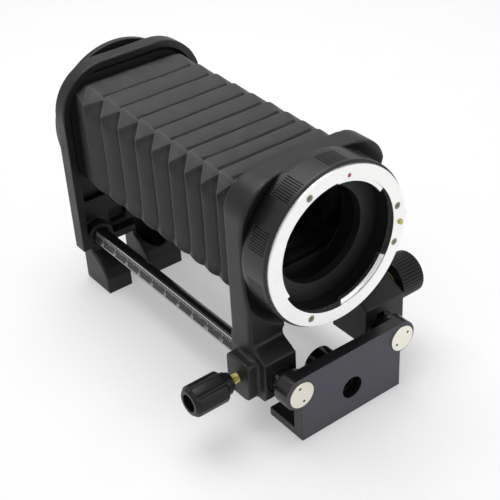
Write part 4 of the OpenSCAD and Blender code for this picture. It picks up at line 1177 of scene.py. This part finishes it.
half_lobe = np.array([2, 4, 6.2, 7.4, 8.0, 8.6, 11, 14, 18, 22])
lobe_angles = np.radians(np.concatenate([-half_lobe[::-1], [0], half_lobe]))
clamp_angles = (np.arange(LOBES)[:, None] * 2 * np.pi / LOBES + lobe_angles).ravel()
collar_x = clamp_high[0]
clamp_profile = eased([
    (CLAMP_BORE_R, -CLAMP_BORE_L), (CLAMP_BORE_R, 0), (0.60 * CLAMP_R, 0), (0.60 * CLAMP_R, -1.5 * MM),
    (0.72 * CLAMP_R, -1.5 * MM), (0.72 * CLAMP_R, -COLLAR_L), (CLAMP_R - 0.5 * MM, -COLLAR_L),
    (CLAMP_R, -COLLAR_L - 0.5 * MM), (CLAMP_R, -11 * MM), (CLAMP_R, -clamp_length + 1.5 * MM),
    (CLAMP_R - 1.4 * MM, -clamp_length), (HOLLOW_R, -clamp_length),
    (HOLLOW_R, -clamp_length + HOLLOW_L), (0, -clamp_length + HOLLOW_L)],
    np.array([0, 0.1, 0.15, 0.1, 0.15, 0.2, 0.2, 0.4, 0, 0.8, 0.4, 0.2, 0.3, 0]) * MM)
clamp_profile = np.concatenate([[[0, -CLAMP_BORE_L]], clamp_profile])
clamp_profile[:, 1] += collar_x
clamp_knob = new_piece("clamp_knob_lobed", *turned(
    clamp_profile, screw_axis, axis="x", shape=lobed, angles=clamp_angles))
dress(clamp_knob, knob_plastic, "clamp_knob", sharp=45)


# %% Threads
def threaded(start, end, radius, depth, pitch, centre, axis, columns=48, inside=False):
    """Rows of a screw surface: the radius is a ridge that climbs one pitch in each turn.

    A thread on the outside fades at both ends and closes to a point there.
    """
    rows = int(abs(end - start) / pitch * 8) + 1
    along = np.linspace(start, end, rows)[:, None]
    angle = np.linspace(0, 2 * np.pi, columns, endpoint=False)[None]
    phase = ((along - start) / pitch - angle / (2 * np.pi)) % 1
    ridge = np.clip(1.3 * (1 - np.abs(2 * phase - 1)) - 0.15, 0, 1)
    from_end = np.minimum(along - min(start, end), max(start, end) - along)
    fade = np.clip(from_end / pitch, 0, 1)
    if inside:
        return round_grid(radius + depth * (1 - ridge), along, angle, centre, axis)
    grid = radius - depth * (1 - ridge) - 0.6 * depth * (1 - fade)
    points = round_grid(grid, along, angle, centre, axis)
    first, last = (round_grid(0.0, v, angle, centre, axis) for v in (start, end))
    return np.concatenate([first, points, last])


screw_low, screw_high, _ = extent("clamp_screw")
SCREW_R = (screw_high[2] - screw_low[2]) / 2
screw_points = threaded(screw_low[0], screw_high[0], SCREW_R, 0.38 * MM, 0.7 * MM, screw_axis, "x")
clamp_screw = new_piece("clamp_screw_threaded", screw_points, quads(*screw_points.shape[:2]))
dress(clamp_screw, brass, "clamp_screw", sharp=60)

tripod_low, tripod_high, tripod_mid = extent("tripod_bush")
TRIPOD_R, TRIPOD_OUT, TRIPOD_PITCH = 3.175 * MM, 6 * MM, 25.4 * MM / 20
TRIPOD_COLUMNS = 64
bore = threaded(tripod_high[2], tripod_low[2], TRIPOD_R, 0.4 * MM, TRIPOD_PITCH, tripod_mid, "z",
                TRIPOD_COLUMNS, inside=True)
wall_profile = eased([(TRIPOD_OUT - 1 * MM, tripod_low[2]), (TRIPOD_OUT, tripod_low[2]),
                      (TRIPOD_OUT, tripod_high[2]), (TRIPOD_OUT - 1 * MM, tripod_high[2])], 0.25 * MM)
wall = turned(wall_profile, tripod_mid, axis="z", columns=TRIPOD_COLUMNS)[0]
tripod_points = np.concatenate([bore, wall])
tripod = new_piece("tripod_bush_threaded", tripod_points,
                   quads(len(tripod_points), TRIPOD_COLUMNS, wrap_rows=True))
dress(tripod, steel, "tripod_bush", sharp=50)

# %% [markdown]
# ## The scale rail
#
# The left rail is ground flat along one side, and the flat carries the scale.
# The grinding leaves two bare edges, made light enough to be a painted
# highlight along the flat as well. The rail is a tube of rows whose radius
# is the smaller of the round bar's and the flat's, and a measure on its
# points says how near each one is to an edge of the flat.

# %% Left rail
FLAT_DEPTH = 0.7 * MM
FLAT_ANGLE = np.radians(157)
flat_at = RAIL_R - FLAT_DEPTH
flat_half = np.arccos(flat_at / RAIL_R)
FLAT_FROM = extent("end_plate")[0][1] + 7.3 * MM
FLAT_TO = rail_high[1] - 6.5 * MM
# The flat doesn't reach the sides of the rail's box, so its middle is the round bar's axis
rail_axis = (rail_mid[0], 0, rail_mid[2])
rail_rows = np.array([
    rail_low[1], rail_low[1] + 0.3 * MM, FLAT_FROM, FLAT_FROM + 1e-6, FLAT_TO, FLAT_TO + 1e-6,
    rail_high[1] - 0.3 * MM, rail_high[1]])
is_flat = np.array([0, 0, 0, 1, 1, 0, 0, 0])[:, None]
chamfer = np.array([0.3, 0, 0, 0, 0, 0, 0, 0.3])[:, None] * MM
edge_angles = FLAT_ANGLE + flat_half * np.array([-1.07, -1.0, -0.9, 0.9, 1.0, 1.07])
rail_angles = np.sort(np.concatenate([
    np.linspace(0, 2 * np.pi, 72, endpoint=False), edge_angles]))[None]
off_flat = rail_angles - FLAT_ANGLE
flat_radius = np.where(
    np.abs(off_flat) < flat_half, flat_at / np.cos(np.clip(off_flat, -1.2, 1.2)), RAIL_R)
rail_radius = np.where(is_flat == 1, np.minimum(RAIL_R, flat_radius), RAIL_R) - chamfer
rail_points = round_grid(rail_radius, rail_rows[:, None], rail_angles, rail_axis, "y")
front_tip, back_tip = (
    round_grid(0.0, y, rail_angles, rail_axis, "y") for y in (rail_low[1], rail_high[1]))
rail_points = np.concatenate([front_tip, rail_points, back_tip])
left_rail = new_piece("left_rail_ground", rail_points, quads(*rail_points.shape[:2]))
spots = mesh_points(left_rail.data)
spot_angle = np.arctan2(spots[:, 2] - rail_mid[2], spots[:, 0] - rail_mid[0]) % (2 * np.pi)
edge_mm = np.abs(np.abs(spot_angle - FLAT_ANGLE) - flat_half) * RAIL_R / MM
on_flat = (spots[:, 1] > FLAT_FROM - 1e-5) & (spots[:, 1] < FLAT_TO + 1e-5)
set_measure(left_rail.data, "edge_mm", np.where(on_flat, edge_mm, 5))
set_measure(left_rail.data, "in_flat", on_flat & (np.abs(spot_angle - FLAT_ANGLE) < flat_half - 0.01))

scale_rail, tree, surface, place = finish("scale_rail")
edge, flat = measure("edge_mm"), measure("in_flat")
texture = use(tree, grain, Place=place, Size_mm=0.2)
# Light metallic stripes at the flat's edges: bare metal and a painted highlight
bare_and_highlit_edge = spread(tree, edge, 0.16, 0.10)
shade = mixed(tree, flat, grey(0.012, (1, 1, 1.05)), grey(0.030, (1, 1, 1.1)))
feed(tree, surface, Base_Color=mixed(tree, bare_and_highlit_edge, shade, grey(0.80)), Metallic=bare_and_highlit_edge,
     Roughness=spread(tree, flat, 0, 1, 0.18, 0.42))
relief(tree, surface, texture["Height"], 0.004)
dress(left_rail, scale_rail, "rail_left", sharp=15)

# %% [markdown]
# The marks are thin raised ink. Each mark is a small box laid on the flat: a
# distance along the rail, a distance across the flat, and a height off it.
# The numbers are text, turned into a mesh and laid on the same way.

# %% Scale marks
flat_out = np.array([np.cos(FLAT_ANGLE), 0, np.sin(FLAT_ANGLE)])
flat_up = np.array([np.sin(FLAT_ANGLE), 0, -np.cos(FLAT_ANGLE)])
read_on = np.array([0.0, -1.0, 0.0])
flat_origin = np.array([rail_mid[0], 0, rail_mid[2]]) + flat_out * flat_at
INK = 0.02 * MM
SCALE_ZERO = 143.4 * MM


def on_flat_face(reading, up, out):
    """A place on the flat: along the reading direction, up across it, and off it."""
    return (flat_origin + reading[..., None] * read_on + up[..., None] * flat_up
            + out[..., None] * flat_out)


marks = np.arange(14, 146)
mark_y = SCALE_ZERO - marks * MM
marks = marks[(mark_y > FLAT_FROM + 1 * MM) & (mark_y < FLAT_TO - 0.5 * MM)]
mark_y = SCALE_ZERO - marks * MM
EVERY_10, EVERY_5, EVERY_1 = 1.9 * MM, 1.45 * MM, 1.0 * MM
length = np.where(marks % 10 == 0, EVERY_10, np.where(marks % 5 == 0, EVERY_5, EVERY_1))
MARK_TOP, MARK_HALF = 1.85 * MM, 0.1 * MM
corner_reading = np.array([-1, 1, 1, -1, -1, 1, 1, -1]) * MARK_HALF
corner_up = np.array([0, 0, 1, 1, 0, 0, 1, 1])
corner_out = np.array([-1, -1, -1, -1, 1, 1, 1, 1]) * INK
mark_points = on_flat_face(
    corner_reading - mark_y[:, None], MARK_TOP - corner_up * length[:, None], corner_out)
BOX = np.array([
    [0, 3, 2, 1], [4, 5, 6, 7], [0, 1, 5, 4], [1, 2, 6, 5], [2, 3, 7, 6], [3, 0, 4, 7]])
mark_faces = (BOX[None] + 8 * np.arange(len(marks))[:, None, None]).reshape(-1, 4)
scale_marks = new_piece("scale_marks", mark_points, mark_faces)
dress(scale_marks, white_ink, "rail_left", replaces=False)


# %% Scale numbers
def number_mesh(text, height):
    """The points and faces of a number, as a thin plate in its own plane."""
    curve = bpy.data.curves.new("number", "FONT")
    curve.body = text
    curve.size = height
    curve.extrude = INK
    curve.align_x = "CENTER"
    curve.resolution_u = 3
    piece = bpy.data.objects.new("number", curve)
    bpy.context.scene.collection.objects.link(piece)
    bpy.context.view_layer.update()
    graph = bpy.context.evaluated_depsgraph_get()
    mesh = bpy.data.meshes.new_from_object(piece.evaluated_get(graph))
    bpy.data.objects.remove(piece)
    points = mesh_points(mesh)
    faces = [list(p.vertices) for p in mesh.polygons]
    bpy.data.meshes.remove(mesh)
    return points, faces


NUMBER_H, NUMBER_BASE = 1.9 * MM, -1.95 * MM
number_points, number_faces, count = [], [], 0
for value in range(20, 141, 10):
    flat_points, faces = number_mesh(str(value), NUMBER_H)
    reading = flat_points[:, 0] - (SCALE_ZERO - value * MM)
    number_points.append(on_flat_face(reading, flat_points[:, 1] + NUMBER_BASE, flat_points[:, 2]))
    number_faces += [[i + count for i in face] for face in faces]
    count += len(flat_points)
mesh = bpy.data.meshes.new("scale_numbers")
mesh.from_pydata(np.concatenate(number_points).tolist(), [], number_faces)
heal(mesh, 1e-8)
scale_numbers = bpy.data.objects.new("scale_numbers", mesh)
bpy.context.scene.collection.objects.link(scale_numbers)
dress(scale_numbers, white_ink, "rail_left", replaces=False)

# %% [markdown]
# ## The floor and the light
#
# The unit stands on white paper. The floor is pale by its own colour, and it
# keeps the object's soft shadow. The lamps stay at a plain level: a large soft
# one overhead, a weaker one from ahead of the lens and a weak one to the left.

# %% Floor and world
floor_material, tree, surface, place = finish("paper", Roughness=0.9)
paper = node(tree, "ShaderNodeTexNoise", {"Vector": place, "Scale": 30.0, "Detail": 2.0}).outputs[0]
feed(tree, surface, Base_Color=mixed(tree, paper, grey(0.69), grey(0.72)))
FLOOR_GLOW = 0.36
rays = tree.nodes.new("ShaderNodeLightPath").outputs
seen = math(tree, "ADD", rays["Is Camera Ray"], rays["Is Glossy Ray"], clamp=True)
seen = math(tree, "ADD", seen, rays["Is Transmission Ray"], clamp=True)
feed(tree, surface, Emission_Strength=math(tree, "MULTIPLY", seen, FLOOR_GLOW))
surface.inputs["Emission Color"].default_value = (1, 1, 1, 1)
FLOOR_HALF = 3.0
floor_corners = FLOOR_HALF * np.array([[-1, -1, 0], [1, -1, 0], [1, 1, 0], [-1, 1, 0]])
floor_corners[:, 2] = cad_box[0][2] - 0.05 * MM
floor = new_piece("floor", floor_corners, np.array([[0, 1, 2, 3]]))
floor.data.materials.append(floor_material)

world = bpy.data.worlds.new("studio")
bpy.context.scene.world = world
world.use_nodes = True
tree = world.node_tree
back = tree.nodes["Background"]
back.inputs["Color"].default_value = (1, 1, 1, 1)
rays = tree.nodes.new("ShaderNodeLightPath").outputs
seen = math(tree, "ADD", rays["Is Camera Ray"], rays["Is Transmission Ray"], clamp=True)
glossy = math(tree, "MULTIPLY", rays["Is Glossy Ray"], 0.35)
strength = math(tree, "ADD", math(tree, "MULTIPLY", seen, 0.7), math(tree, "ADD", glossy, 0.3))
tree.links.new(strength, back.inputs["Strength"])


# %% Lamps
def lamp(name, place, aim, size, power):
    """A square soft lamp at a place, turned to face a point."""
    light = bpy.data.lights.new(name, "AREA")
    light.size = size
    light.energy = power
    made = bpy.data.objects.new(name, light)
    bpy.context.scene.collection.objects.link(made)
    toward = np.array(aim, float) - np.array(place, float)
    right, up, back = camera_axes(-toward, 0.0)
    aimed = Matrix(np.array([right, up, back]).T.tolist()).to_4x4()
    made.matrix_world = Matrix.Translation(place) @ aimed


OBJECT_MIDDLE = (0, 0.06, 0.05)
lamp("key", (-0.55, -0.10, 0.62), OBJECT_MIDDLE, 0.6, 0.5)
lamp("top", (0.05, 0.25, 0.85), OBJECT_MIDDLE, 0.7, 5.0)
lamp("fill", (0.25, -0.75, 0.40), OBJECT_MIDDLE, 0.5, 1.2)
print("lit by", len(bpy.data.lights), "lamps")

# %% [markdown]
# ## Sizes
#
# The last step prints the size of the frame that the object was built on.

# %% Sizes
print("frame", [round(v / MM, 1) for v in cad_box[1] - cad_box[0]], "mm")
